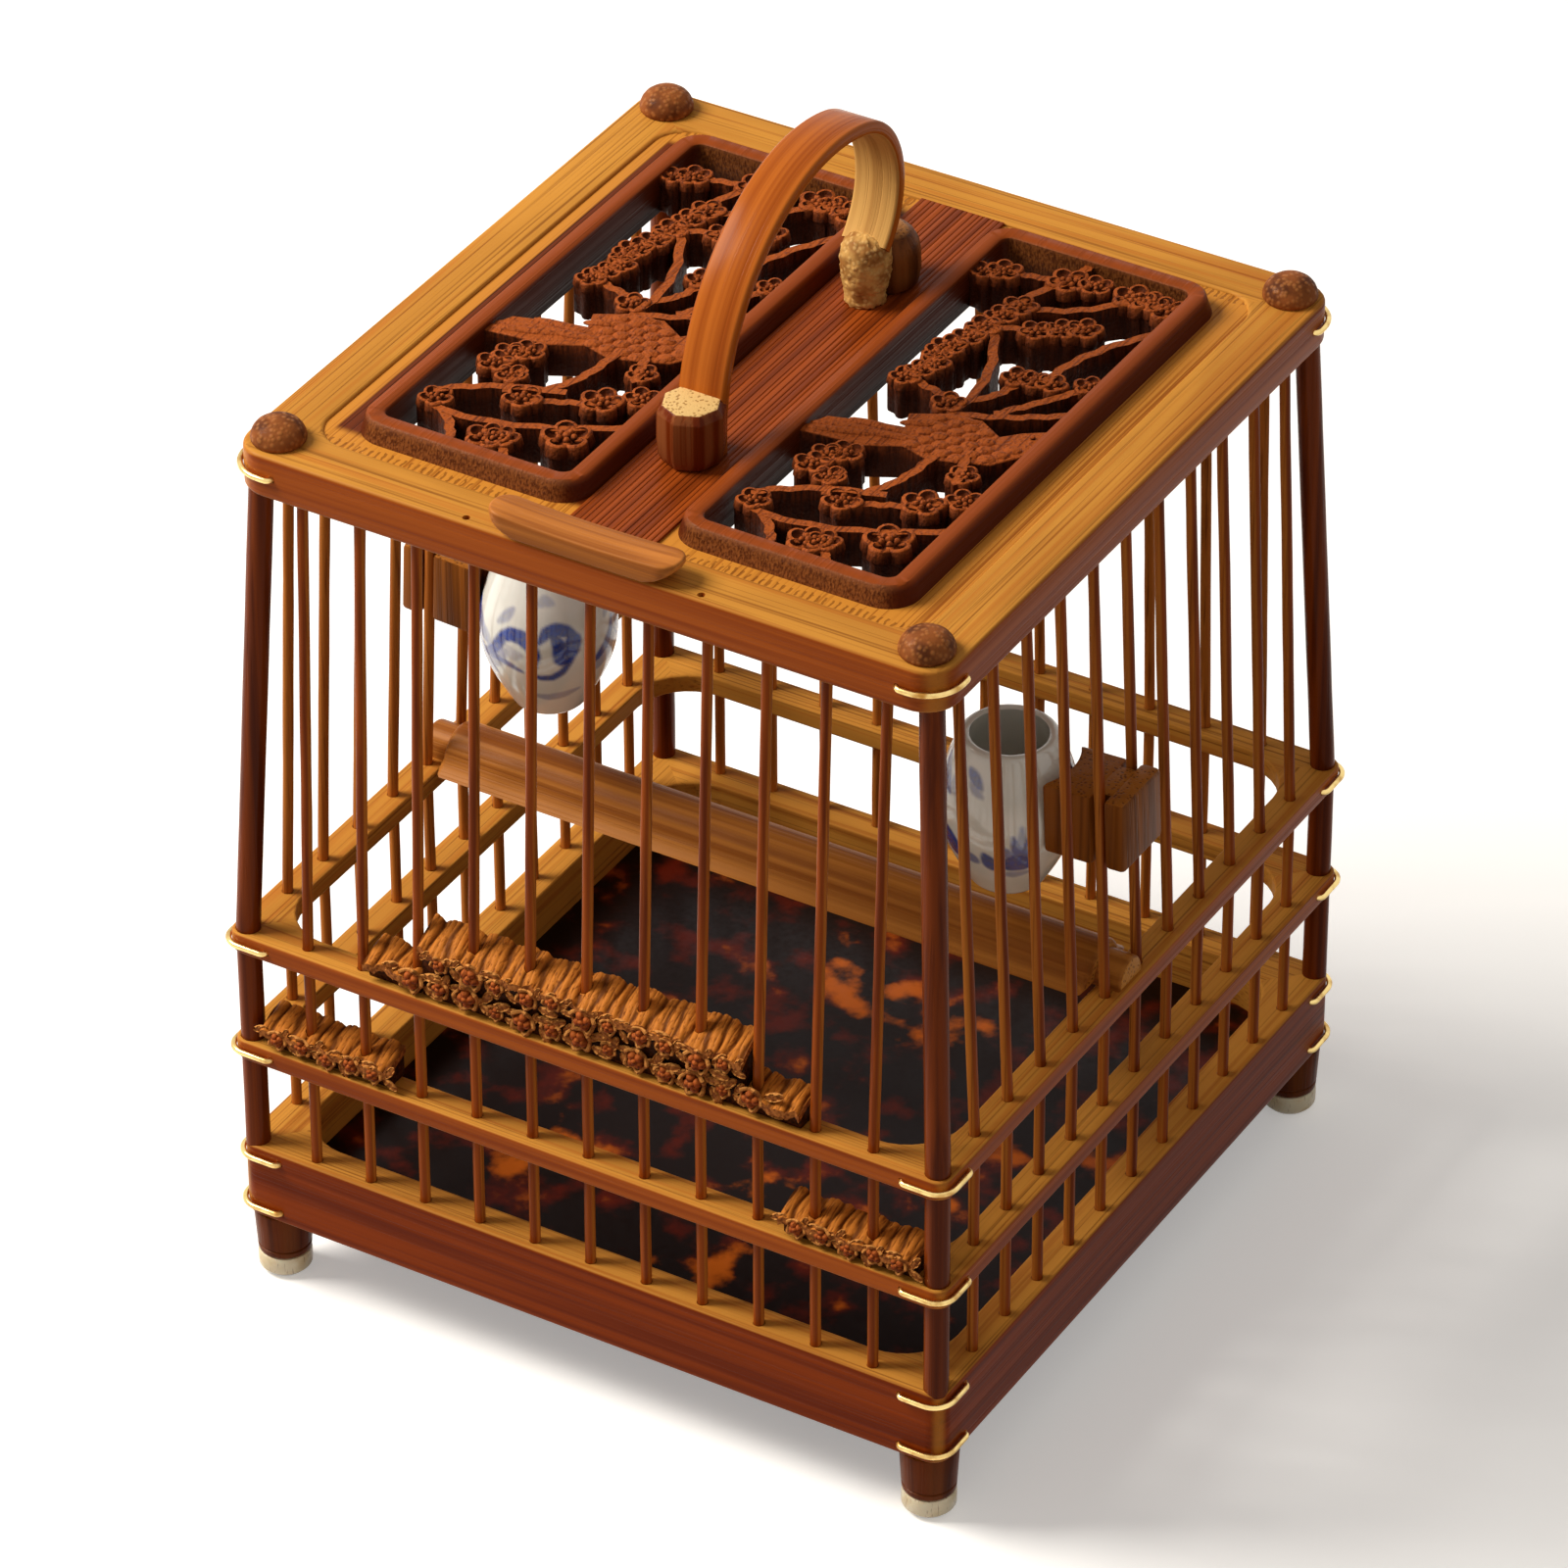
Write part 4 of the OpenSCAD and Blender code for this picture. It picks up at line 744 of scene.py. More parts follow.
BRANCHES = (
    ((-0.85, -0.77), (-0.40, -0.62), (0.25, -0.57)), ((0.00, -0.60), (0.30, -0.50), (0.28, -0.25)),
    ((-0.60, -0.86), (0.20, -0.86), (1.06, -0.64)), ((-0.75, -0.84), (-0.45, -0.86), (-0.25, -1.02)),
    ((0.20, -0.92), (0.25, -1.00), (0.45, -1.02)), ((0.00, -0.66), (0.30, -0.62), (0.60, -0.56)),
    ((0.45, -0.58), (0.75, -0.50), (1.06, -0.45)), ((0.70, -0.40), (0.60, -0.30), (0.50, -0.18)),
    ((-0.30, -0.50), (-0.35, -0.58), (-0.25, -0.66)), ((1.06, 0.16), (0.60, 0.03), (0.10, -0.03)),
    ((0.05, -0.05), (0.20, 0.25), (-0.40, 0.52)), ((0.00, 0.05), (-0.30, 0.06), (-0.65, 0.10)),
    ((0.06, 0.06), (0.30, 0.12), (0.34, 0.26)), ((0.40, 0.04), (0.70, 0.18), (0.95, 0.34)),
    ((0.55, 0.28), (0.55, 0.50), (1.06, 0.74)), ((-0.60, 0.10), (-0.52, 0.30), (-0.40, 0.50)),
    ((-0.45, 0.50), (-0.20, 0.50), (0.45, 0.64)), ((-0.40, 0.50), (-0.40, 0.75), (-0.10, 0.88)),
    ((-0.30, 0.66), (0.30, 0.70), (0.60, 0.92)), ((-0.15, 0.88), (-0.50, 0.84), (-0.75, 0.84)),
    ((-0.10, 0.86), (-0.12, 1.00), (-0.05, 1.03)), ((0.50, 0.90), (0.80, 0.86), (1.05, 0.92)))
MAGPIE = (
    (-1.04, -0.36), (-0.90, -0.25), (-0.46, -0.20), (-0.18, -0.18), (-0.26, -0.10), (-0.06, -0.06), (0.36, -0.02),
    (0.64, -0.08), (0.80, -0.02), (1.04, 0.04), (1.04, -0.10), (0.78, -0.23), (0.24, -0.30), (-0.06, -0.27),
    (-0.38, -0.33))
FEATHERS = ((-0.26, (0.0, 0.16, 0.32, 0.48)), (-0.215, (0.08, 0.24, 0.40, 0.56, 0.72)),
            (-0.17, (0.0, 0.16, 0.32, 0.48, 0.64, 0.80)), (-0.125, (0.10, 0.26, 0.42, 0.58, 0.86)),
            (-0.08, (0.0, 0.18, 0.34, 0.50)))
PLUMES = ((-0.28, -0.25, 4.6, 12), (-0.62, -0.27, 5.4, 14), (-0.66, -0.30, 5.0, 18), (-0.40, -0.215, 4.4, 4),
          (-0.08, -0.13, 3.0, 24), (0.16, -0.05, 3.0, 10))
FEATHER_SIZE, PLUME_SIZE, FEATHER_ANGLE = (1.25, 0.9, 0.42), (0.75, 0.42), 20
EYE_PLACE, EYE_SIZE = (0.92, -0.03), (0.35, 0.35, 0.3)


def carving_point(u, v, z=0.0):
    """Place on a carving from shares of its half width and half length."""
    return Vector((u * CARVING_X, v * CARVING_Y, z))


def ball(place, size, segments=10, rings=6, turned=None):
    """A small carved knob: a ball pressed to its three half sizes and set in place."""
    knob = fresh(bpy.ops.mesh.primitive_uv_sphere_add, segments=segments, ring_count=rings, radius=1)
    knob.data.transform(Matrix.LocRotScale(place, turned, size))
    return knob


def dip(piece, *finishes):
    """Gives a part its own finishes before it is joined to others."""
    for finish in finishes:
        piece.data.materials.append(finish)
    return piece


def plum_blossom():
    """A blossom of unit radius facing up: five deep cupped petals with thin rims, stamens and a round eye."""
    cup = fresh(bpy.ops.mesh.primitive_circle_add, vertices=16, radius=PETAL_R, fill_type="NGON")
    open_mesh(cup)
    push(0, 0, PETAL_TALL)
    for inward, rise in PETAL_INSETS:
        bpy.ops.mesh.inset(thickness=inward, depth=rise)
    close_mesh(cup)
    # Faces in each petal's hollow take the second, darker finish, which is painted shade.
    for face in cup.data.polygons:
        face.material_index = int(face.center.xy.length < HOLLOW_R and face.normal.z > -0.5)
    dip(cup, carving_finish, hollow_shade_finish)
    petals = []
    leaned_out = Matrix.Translation((PETAL_OUT, 0, -PETAL_DROP)) @ Matrix.Rotation(-PETAL_TILT, 4, "Y")
    for number in range(5):
        around = Matrix.Rotation(number * math.tau / 5, 4, "Z")
        petals.append(copy_of(cup, around @ leaned_out))
        between = around @ Matrix.Rotation(math.pi / 5, 4, "Z") @ Vector((0.27, 0, 0.0))
        petals.append(dip(ball(between, (0.14, 0.14, 0.2), 8, 5), carving_finish))
    petals.append(dip(ball(Vector((0, 0, 0.02)), (0.17, 0.17, 0.22), 8, 5), carving_finish))
    bpy.data.objects.remove(cup)
    return join(petals)


def flat_curve(lines, closed, radius, low, high):
    """Walls that follow lines in plan: closed outlines are filled and rounded, open lines get a flat top."""
    walls = fresh(bpy.ops.curve.primitive_bezier_curve_add)
    walls.data.splines.clear()
    for line in lines:
        spline = walls.data.splines.new("POLY")
        spline.points.add(len(line) - 1)
        spline.use_cyclic_u = closed
        for point, place in zip(spline.points, line):
            point.co = (place[0], place[1], 0, 1)
    walls.data.dimensions = "2D"
    walls.data.fill_mode = "BOTH" if closed else "NONE"
    walls.data.bevel_depth = radius if closed else 0
    walls.data.bevel_resolution = 2
    walls.data.extrude = (high - low) / 2 - walls.data.bevel_depth
    bpy.ops.object.convert(target="MESH")
    walls.data.transform(Matrix.Translation((0, 0, (high + low) / 2)))
    if not closed:
        thicken = walls.modifiers.new("thicken", "SOLIDIFY")
        thicken.thickness, thicken.offset = 2 * radius, 0
        bpy.ops.object.modifier_apply(modifier=thicken.name)
    return walls


def bow(start, pull, end, steps=14):
    """Points along a slightly crooked curve that leaves one point towards another and ends at a third."""
    a, b, c = (carving_point(*p) for p in (start, pull, end))
    line = []
    for number in range(steps + 1):
        t = number / steps
        crook = Vector((math.sin(2.1 * number + 30 * start[0]), math.cos(1.7 * number + 30 * start[1]), 0)) * CROOK
        line.append((1 - t) ** 2 * a + 2 * t * (1 - t) * b + t * t * c + crook)
    return line


def five_lobes(u, v, radius, turned, points=30):
    """Outline of the block that is left standing under a blossom."""
    angles = [math.tau * k / points for k in range(points)]
    return [carving_point(u, v) + radius * (0.8 + 0.12 * math.cos(5 * a - 5 * turned))
            * Vector((math.cos(a), math.sin(a), 0)) for a in angles]


def carved_bamboo(name, light, strand, wall, wall_dark):
    """Sawn bamboo: fibrous and chipped on top and streaked by the saw on its walls, with painted light and shade: light
    tops, dark walls and a near-black depth.
    """
    finish, place = new_finish(name, Specular_IOR_Level=0.06)
    apart, normal, marks = survey(place, "YZX")
    saw = speckle(place, 0.5 * MM, 3, (1, 1, 8))
    chips = speckle(place, 0.45 * MM, 3)
    raised = blend(marks["Strand"], light, strand)
    raised = blend(ramp(chips, 0.52, 0.68, 0, 0.7), raised, strand)
    # The walls' darker colours are painted shade and the tops' lighter ones painted light; the saw streaks are the
    # wood's own.
    side = blend(ramp(saw, 0.35, 0.65), wall, wall_dark)
    colour = blend(ramp(normal[2], 0.2, 0.8), side, raised)
    # Painted shade: near black the deeper a face lies below the carving's top.
    low = ramp(apart[2], CARVING_TOP - 0.6 * MM, CARVING_TOP - 2.2 * MM)
    colour = blend(times(low, 0.75), colour, tint(46, 18, 8))
    height = sums("ADD", times(chips, 0.9), times(saw, 0.6))
    return dress(finish, colour, ramp(chips, 0.3, 0.7, 0.62, 0.42), height, 0.26 * MM, 0.9)


carving_finish = carved_bamboo("carved_bamboo", tint(162, 80, 32), tint(98, 42, 15), tint(100, 45, 19), tint(54, 22, 9))
# A darker copy of the carving's finish: painted shade for the petals' hollows.
hollow_shade_finish = carved_bamboo("carved_hollow_shade", tint(118, 54, 22), tint(70, 29, 11), tint(76, 32, 13), tint(40, 16, 7))
pattern, blossoms = plum_blossom(), []
bird = [carving_point(*p) for p in MAGPIE]
carved = [flat_curve([bird], True, BIRD_EDGE, BOARD_LOW, CARVING_TOP - BIRD_DROP)]
for number, branch in enumerate(BRANCHES):
    carved.append(flat_curve([bow(*branch)], False, BRANCH_R, BOARD_LOW, CARVING_TOP - BRANCH_STEP * (number % 7)))
for number, (u, v, size) in enumerate(BLOSSOMS):
    radius, turned = size * BLOSSOM_R, number * BLOSSOM_TURN
    head = Matrix.Translation(carving_point(u, v, CARVING_TOP - 0.1 * radius))
    blossoms.append(copy_of(pattern, head @ Matrix.Rotation(turned, 4, "Z") @ Matrix.Scale(radius, 4)))
    lobes = five_lobes(u, v, radius, turned)
    carved.append(flat_curve([lobes], True, LOBE_EDGE, BOARD_LOW, CARVING_TOP - 0.42 * radius))
plumage = [(u, v, FEATHER_SIZE, FEATHER_ANGLE) for v, us in FEATHERS for u in us]
plumage += [(u, v, (length, *PLUME_SIZE), angle) for u, v, length, angle in PLUMES]
for u, v, size, angle in plumage:
    turned = Matrix.Rotation(math.radians(angle), 3, "Z").to_quaternion()
    carved.append(ball(carving_point(u, v, CARVING_TOP - FEATHER_DROP), Vector(size) * MM, turned=turned))
carved.append(ball(carving_point(*EYE_PLACE, CARVING_TOP - EYE_DROP), Vector(EYE_SIZE) * MM, 8, 5))
carving = join([dip(part, carving_finish) for part in carved] + blossoms)
bpy.data.objects.remove(pattern)

MOULDING = ((0.25, 0.7), (0.35, 1.1), (0.25, 0.9), (0.3, 0.3), (1.7, 0.0), (0.3, -0.25))
MOULDING_SINK, MOULDING_FLANGE, MOULDING_DEPTH = 0.3 * MM, 1.4 * MM, 0.6 * MM
moulding = flat_plate(BORDER_HALF_X + SKIRT, BORDER_HALF_Y + SKIRT, BORDER_R + SKIRT, BOARD_TOP - MOULDING_SINK, 10)
whole("FACE")
for inward, rise in MOULDING:
    bpy.ops.mesh.inset(thickness=inward * MM, depth=rise * MM)
push(0, 0, BOARD_LOW - CARVING_TOP - MOULDING_DEPTH)
bpy.ops.mesh.inset(thickness=MOULDING_FLANGE, depth=0, use_outset=True)
bpy.ops.mesh.delete(type="FACE")
close_mesh(moulding)

BOARD_HALF, BOARD_CORNER = 42.65 * MM, 0.3 * MM
board = flat_plate((BOARD_HALF - BAR_HALF) / 2, BOARD_HALF, BOARD_CORNER, BOARD_LOW, 2)
push(0, 0, BOARD_TOP - BOARD_LOW)
close_mesh(board)
board.data.transform(Matrix.Translation(((BOARD_HALF + BAR_HALF) / 2 - BORDER_MID, 0, 0)))
opening = flat_plate(BORDER_HALF_X - RABBET, BORDER_HALF_Y - RABBET, OPENING_R, BOARD_LOW - MM)
push(0, 0, OPENING_DEEP)
cut_with(board, close_mesh(opening))


# Limits of the painted shade on the left panel's board.
PALE_EDGE, PALE_FROM = (-41.3 * MM, -40.9 * MM), (1 * MM, -1 * MM)
TOOTH_PITCH, TOOTH_ROW = 0.95 * MM, (41.7 * MM, 41.9 * MM)


def panel_board():
    """Dark bamboo between pale strips, the dark being painted shade on the left panel's board where it shows left of
    the border, with a row of short uneven tool marks across each end.
    """
    finish, place = new_finish("panel_board", Specular_IOR_Level=0.06)
    apart, _, marks = survey(place, "YZX")
    colour = blend(marks["Strand"], tint(104, 44, 13), tint(60, 22, 7))
    # Painted shade: the left panel's board between PALE_EDGE and PALE_FROM keeps the dark colour, and the rest turns
    # pale.
    inside = times(ramp(apart[0], *PALE_EDGE), ramp(apart[0], *PALE_FROM))
    colour = blend(inside, blend(marks["Strand"], tint(202, 132, 50), tint(150, 84, 26)), colour)
    from_end = sums("ABSOLUTE", apart[1])
    ends = ramp(from_end, BORDER_HALF_Y - 1.0 * MM, BORDER_HALF_Y + 0.6 * MM)
    colour = blend(ends, colour, blend(marks["Strand"], tint(204, 134, 50), tint(160, 94, 30)))
    shake = speckle(place, 1.1 * MM, 1)
    phase = sums("ADD", times(apart[0], math.tau / TOOTH_PITCH), times(shake, 5))
    teeth = ramp(sums("SINE", phase), 0.25, 0.7)
    ragged = sums("ADD", from_end, times(shake, 1.4 * MM))
    row = times(teeth, ramp(ragged, *TOOTH_ROW))
    colour = blend(times(row, 0.6), colour, tint(104, 54, 16))
    height = sums("ADD", marks["Strand"], row)
    return dress(finish, colour, ramp(marks["Strand"], 0, 1, 0.4, 0.55), height, -0.08 * MM)


def border_moulding():
    """Red-brown bamboo with speckled end grain on the short sides, a lip lighter along its top, and painted shade on
    the slopes of the long sides and down the inner wall.
    """
    finish, place = new_finish("border_moulding", Specular_IOR_Level=0.06)
    apart, normal, marks = survey(place, "YZX")
    colour = blend(marks["Streak"], tint(122, 52, 16), tint(84, 32, 8))
    end = ramp(sums("ABSOLUTE", normal[1]), 0.35, 0.8)
    grain = speckle(place, 0.24 * MM, 2, (1, 1, 2.5))
    cut = blend(ramp(grain, 0.34, 0.68), tint(132, 76, 36), tint(82, 40, 17))
    colour = blend(end, colour, cut)
    # Painted shade on the faces that turn towards the long sides.
    long_side_shade = ramp(sums("ABSOLUTE", normal[0]), 0.3, 0.7)
    colour = blend(times(long_side_shade, 0.85), colour, tint(78, 28, 8))
    # Lighter along the top of the lip.
    lip = ramp(apart[2], BORDER_TOP - 0.9 * MM, BORDER_TOP - 0.1 * MM)
    lip_top_tone = blend(end, tint(156, 74, 26), tint(136, 80, 48))
    colour = blend(times(lip, 0.6), colour, lip_top_tone)
    # Painted shade: near black down the inner wall, below the board's top.
    deep = ramp(apart[2], BOARD_TOP + 0.6 * MM, BOARD_LOW)
    colour = blend(deep, colour, tint(40, 15, 8))
    height = sums("ADD", marks["Strand"], times(grain, end))
    return dress(finish, colour, ramp(marks["Streak"], 0, 1, 0.34, 0.5), height, 0.08 * MM)


dip(moulding, border_moulding())
dip(board, panel_board())
for name, side in (("right", 1), ("left", -1)):
    half_lid = copy_of(board, Matrix.Scale(side, 4, (1, 0, 0)))
    open_mesh(half_lid)
    close_mesh(half_lid)
    panel = join([half_lid, copy_of(moulding, Matrix()), copy_of(carving, Matrix())])
    panel.data.transform(Matrix.Translation((side * BORDER_MID, 0, 0)))
    fit(panel, "plum_blossom_panel_" + name, "cage", "carved_panel", [], "carved_panel_" + name, smooth=45)
for part in (carving, moulding, board):
    bpy.data.objects.remove(part)


# Handle
# A strap of split bamboo bent in a long bow at the front and a short one at the rear, skin outside.
# Its rear foot is a knobbly root bulb, and a cut knob stands outside each foot.

STRAP_WIDE, STRAP_THICK, STRAP_EDGE = 6.4 * MM, 1.8 * MM, 0.45 * MM
FOOT_PLACE, BOW_R, REAR_BOW_R, BOW_LIFT = 21 * MM, 26.5 * MM, 12 * MM, 2.6 * MM
SKEW, TUCK = math.radians(17), math.radians(45)
bow_middle = Vector((0, BOW_R - FOOT_PLACE, top_high.z + BOW_LIFT))
rear_middle = bow_middle + (BOW_R - REAR_BOW_R) * Vector((0, math.sin(SKEW), math.cos(SKEW)))
bulb_y = rear_middle.y + REAR_BOW_R * math.cos(TUCK)

strap = flat_plate(STRAP_WIDE / 2, STRAP_THICK / 2, STRAP_EDGE, top_high.z, 3)
bpy.ops.transform.translate(value=(0, -FOOT_PLACE, 0))
push(0, 0, BOW_LIFT)
bpy.ops.mesh.spin(steps=44, angle=math.pi / 2 + SKEW, center=bow_middle, axis=(1, 0, 0))
bpy.ops.mesh.spin(steps=36, angle=math.pi / 2 - SKEW + TUCK, center=rear_middle, axis=(1, 0, 0))
close_mesh(strap)


def on_strap(place):
    """Length along the strap, place across it and depth, so that the fibres follow the bends."""
    out = place - bow_middle
    if out.y * math.cos(SKEW) > out.z * math.sin(SKEW) and out.z > 0:
        out = place - rear_middle
        turned = math.pi / 2 - SKEW - math.atan2(out.z, out.y)
        return Vector((BOW_R * (math.pi / 2 + SKEW) + REAR_BOW_R * turned, place.x, out.yz.length - REAR_BOW_R))
    turned = math.pi - math.atan2(max(out.z, 0), out.y)
    return Vector((BOW_R * turned, place.x, out.yz.length - BOW_R))


def lay_grain(piece, along):
    """Records at every point where it lies along, across and below the fibres."""
    laid = piece.data.attributes.new("grain", "FLOAT_VECTOR", "POINT")
    for vertex, value in zip(piece.data.vertices, laid.data):
        value.vector = along(vertex.co)


def knobbly(piece, depth, size):
    """Roughens a turned piece with soft lumps."""
    lumps = bpy.data.textures.new("lumps", "CLOUDS")
    lumps.noise_scale = size
    alone(piece)
    rough = piece.modifiers.new("lumps", "DISPLACE")
    rough.texture, rough.strength, rough.mid_level = lumps, depth, 0.6
    bpy.ops.object.modifier_apply(modifier=rough.name)
    return piece


front_run = BOW_R * (math.pi / 2 + SKEW)
lay_grain(strap, on_strap)
for face in strap.data.polygons:
    middle = rear_middle if on_strap(face.center).x > front_run else bow_middle
    inward = (middle - face.center).yz
    face.material_index = 1 if face.normal.yz.dot(inward) > 0.6 * inward.length else 0
strap_skin = bamboo("strap_skin", "laid", tint(206, 122, 50), tint(150, 74, 24), tint(192, 104, 34),
                    tint(154, 74, 20), gloss=(0.36, 0.22), relief=0.04, arris=0.0)
strap_flesh = bamboo("strap_flesh", "laid", tint(222, 176, 104), tint(140, 92, 44), tint(214, 164, 92),
                     tint(168, 116, 58), gloss=(0.6, 0.5), relief=0.12, arris=0.0)
dip(strap, strap_skin, strap_flesh)

KNOB_CUT = ((0, 0), (3.5, 0), (3.85, 0.2), (4.3, 1.3), (4.45, 3.4), (4.4, 6.9), (3.75, 7.9), (3.5, 8.0), (0, 8.0))
KNOB_ROUND = ((0, 0), (3.6, 0), (4.15, 0.7), (4.38, 2.4), (4.38, 4.4), (4.1, 6.0), (3.4, 7.2), (2.3, 7.8), (1.1, 8.0),
              (0, 8.0))
BULB_ROUND = ((2.6, 0), (2.8, 0.5), (2.66, 1.2), (2.8, 2.0), (3.1, 3.2), (3.3, 4.8), (3.34, 6.2), (3.2, 7.4),
              (2.8, 8.5), (2.0, 9.3), (1.0, 9.6), (0, 9.7))
KNOB_SIDES, KNOB_EASE, BULB_RINGS = 8, 0.22 * MM, 40
front_knob = turn(KNOB_CUT, 0, PEG_PLACES[0], top_high.z, KNOB_SIDES)
open_mesh(front_knob)
pick(front_knob, "EDGE", lambda e: e.calc_face_angle(0) > 0.4)
soften(KNOB_EASE, 2)
close_mesh(front_knob)
rear_knob = knobbly(turn(KNOB_ROUND, 0, PEG_PLACES[1], top_high.z, 28), 0.25 * MM, 2.4 * MM)
bulb_r, bulb_z = zip(*BULB_ROUND)
bulb_turn = [(0, 0)] + [(np.interp(z, bulb_z, bulb_r), z) for z in np.linspace(0, bulb_z[-1], BULB_RINGS)]
bulb = turn(bulb_turn, 0, bulb_y, top_high.z, 64)
for depth, size in ((0.6, 1.3), (0.45, 0.6)):
    knobbly(bulb, depth * MM, size * MM)
dip(front_knob, bamboo("cut_knob", "Z", tint(224, 186, 122), tint(150, 104, 50), tint(122, 46, 12), tint(104, 38, 9),
                       gloss=(0.4, 0.24), arris=0.0))
dip(rear_knob, bamboo("round_knob", "Z", tint(176, 116, 60), tint(96, 54, 22), tint(128, 72, 32), tint(78, 38, 14),
                      gloss=(0.5, 0.35), relief=0.1, arris=0.0))
dip(bulb, speckled_root("root_bulb", tint(214, 166, 94), tint(150, 98, 46), tint(230, 190, 122)))
fit(join([strap, front_knob, rear_knob, bulb]), "bent_handle", "cage", "bamboo_skin", [], "handle", smooth=40)


# Handle pegs
# Two round bamboo pegs driven up through the centre bar into the handle's knobs.
# Their rounded lower ends show under the lid.

PEG_SEAT = 4 * MM
peg_tall = (top_high.z + PEG_SEAT - bar_low.z) / MM
PEG_TURN = ((0, 0), (1.0, 0), (1.5, 0.3), (1.5, peg_tall - 0.3), (1.2, peg_tall), (0, peg_tall))
pegs = [turn(PEG_TURN, 0, place, bar_low.z, 20) for place in PEG_PLACES]
# The pegs share the posts' finish, darkened as painted shade.
fit(join(pegs), "peg_pair", "cage", "bamboo_rails", post_shade_finish, "handle_pegs")


# Door pull
# A flat boat of pale bamboo with upturned tips, its sharp edges rubbed round.
# It rests on the front top rail and carries the three door bars, set into holes from below.

PULL_HALF, PULL_WIDE, PULL_TALL, PULL_REST, PULL_TIP = 13.25 * MM, 2.5 * MM, 3.2 * MM, 9 * MM, 0.9 * MM
PULL_SEAT, PULL_FORWARD, PULL_CORNER, PULL_DIP, PULL_EASE = 2 * MM, 0.8 * MM, 2.3 * MM, 0.5 * MM, 0.4 * MM
SEAT_SPARE = 0.1 * MM
pull_y = on_lean(0, top_high.z).y - PULL_FORWARD
pull = flat_plate(PULL_HALF, PULL_WIDE, PULL_CORNER, top_high.z, 7)
push(0, 0, PULL_TALL)
score([x * MM for x in (-12, -10.5, -9, -6, -3, 0, 3, 6, 9, 10.5, 12)])
hull = bmesh.from_edit_mesh(pull.data)
for vertex in hull.verts:
    beyond = max(0.0, abs(vertex.co.x) - PULL_REST) / (PULL_HALF - PULL_REST)
    if vertex.co.z < top_high.z + PULL_TALL / 2:
        vertex.co.z += (PULL_TALL - PULL_TIP) * beyond ** 1.4
    else:
        vertex.co.z -= PULL_DIP * (1 - (vertex.co.x / PULL_HALF) ** 2)
bmesh.update_edit_mesh(pull.data)
whole()
bpy.ops.transform.translate(value=(0, pull_y, 0))
pick(pull, "EDGE", lambda e: e.calc_face_angle(0) > 0.9)
soften(PULL_EASE, 3)
drill(close_mesh(pull), [(on_lean(x, top_high.z), leaned, 2 * PULL_SEAT + SEAT_SPARE, BAR_HOLE) for x in DOOR_BARS])
pull_finish = bamboo("pull_bamboo", "X", tint(204, 132, 62), tint(122, 68, 26), tint(194, 120, 54), tint(146, 82, 34),
                     gloss=(0.5, 0.34), relief=0.07, arris=0.25)
fit(pull, "boat_pull", "door", "bamboo_rails", pull_finish, "door_pull")


# Door bars
# Three bamboo splints like the fixed bars that hang from the pull and slide in the top rail's guide holes.
# They end just above the middle ring, so the door lifts straight up along the lean.

DOOR_GAP, DOOR_SEED, DOOR_SWELL, DOOR_WANDER = 0.3 * MM, 140, 0.04, 0.03 * MM
door_rods = []
for number, x in enumerate(DOOR_BARS):
    tail = on_lean(x, middle_top + DOOR_GAP)
    door_rods.append(rod(tail, tail, on_lean(x, top_high.z + PULL_SEAT), BAR_R))
    drawn_by_hand(door_rods[-1], DOOR_SEED + number, DOOR_SWELL, DOOR_WANDER)
fit(join(door_rods), "splints_door", "door", "bamboo_bars", bar_finish["X"], "door_bars", smooth=60)


# Carved crests
# Brown bamboo blocks carved as a fluted roof over crowded flowers and leaves, cut out deeply in front.
# The stepped long one stands on the middle ring, a small one at each corner of the lower ring, on the bars.

CREST_BACK, CREST_FRONT, CREST_WALL = -47.35 * MM, -52.15 * MM, -50.95 * MM
ROOF_THICK, FLUTE, HUMP, HUMP_PITCH, SCALLOP = 1.0 * MM, 0.5 * MM, 0.55 * MM, 5.4 * MM, 0.45 * MM
RIPPLE, ROOF_FALL = 0.16 * MM, 0.6 * MM
WALL_STEP, WALL_INSET, WALL_EASE = 2.2 * MM, 0.15 * MM, 0.2 * MM
CREST_HOLE = 1.6 * MM


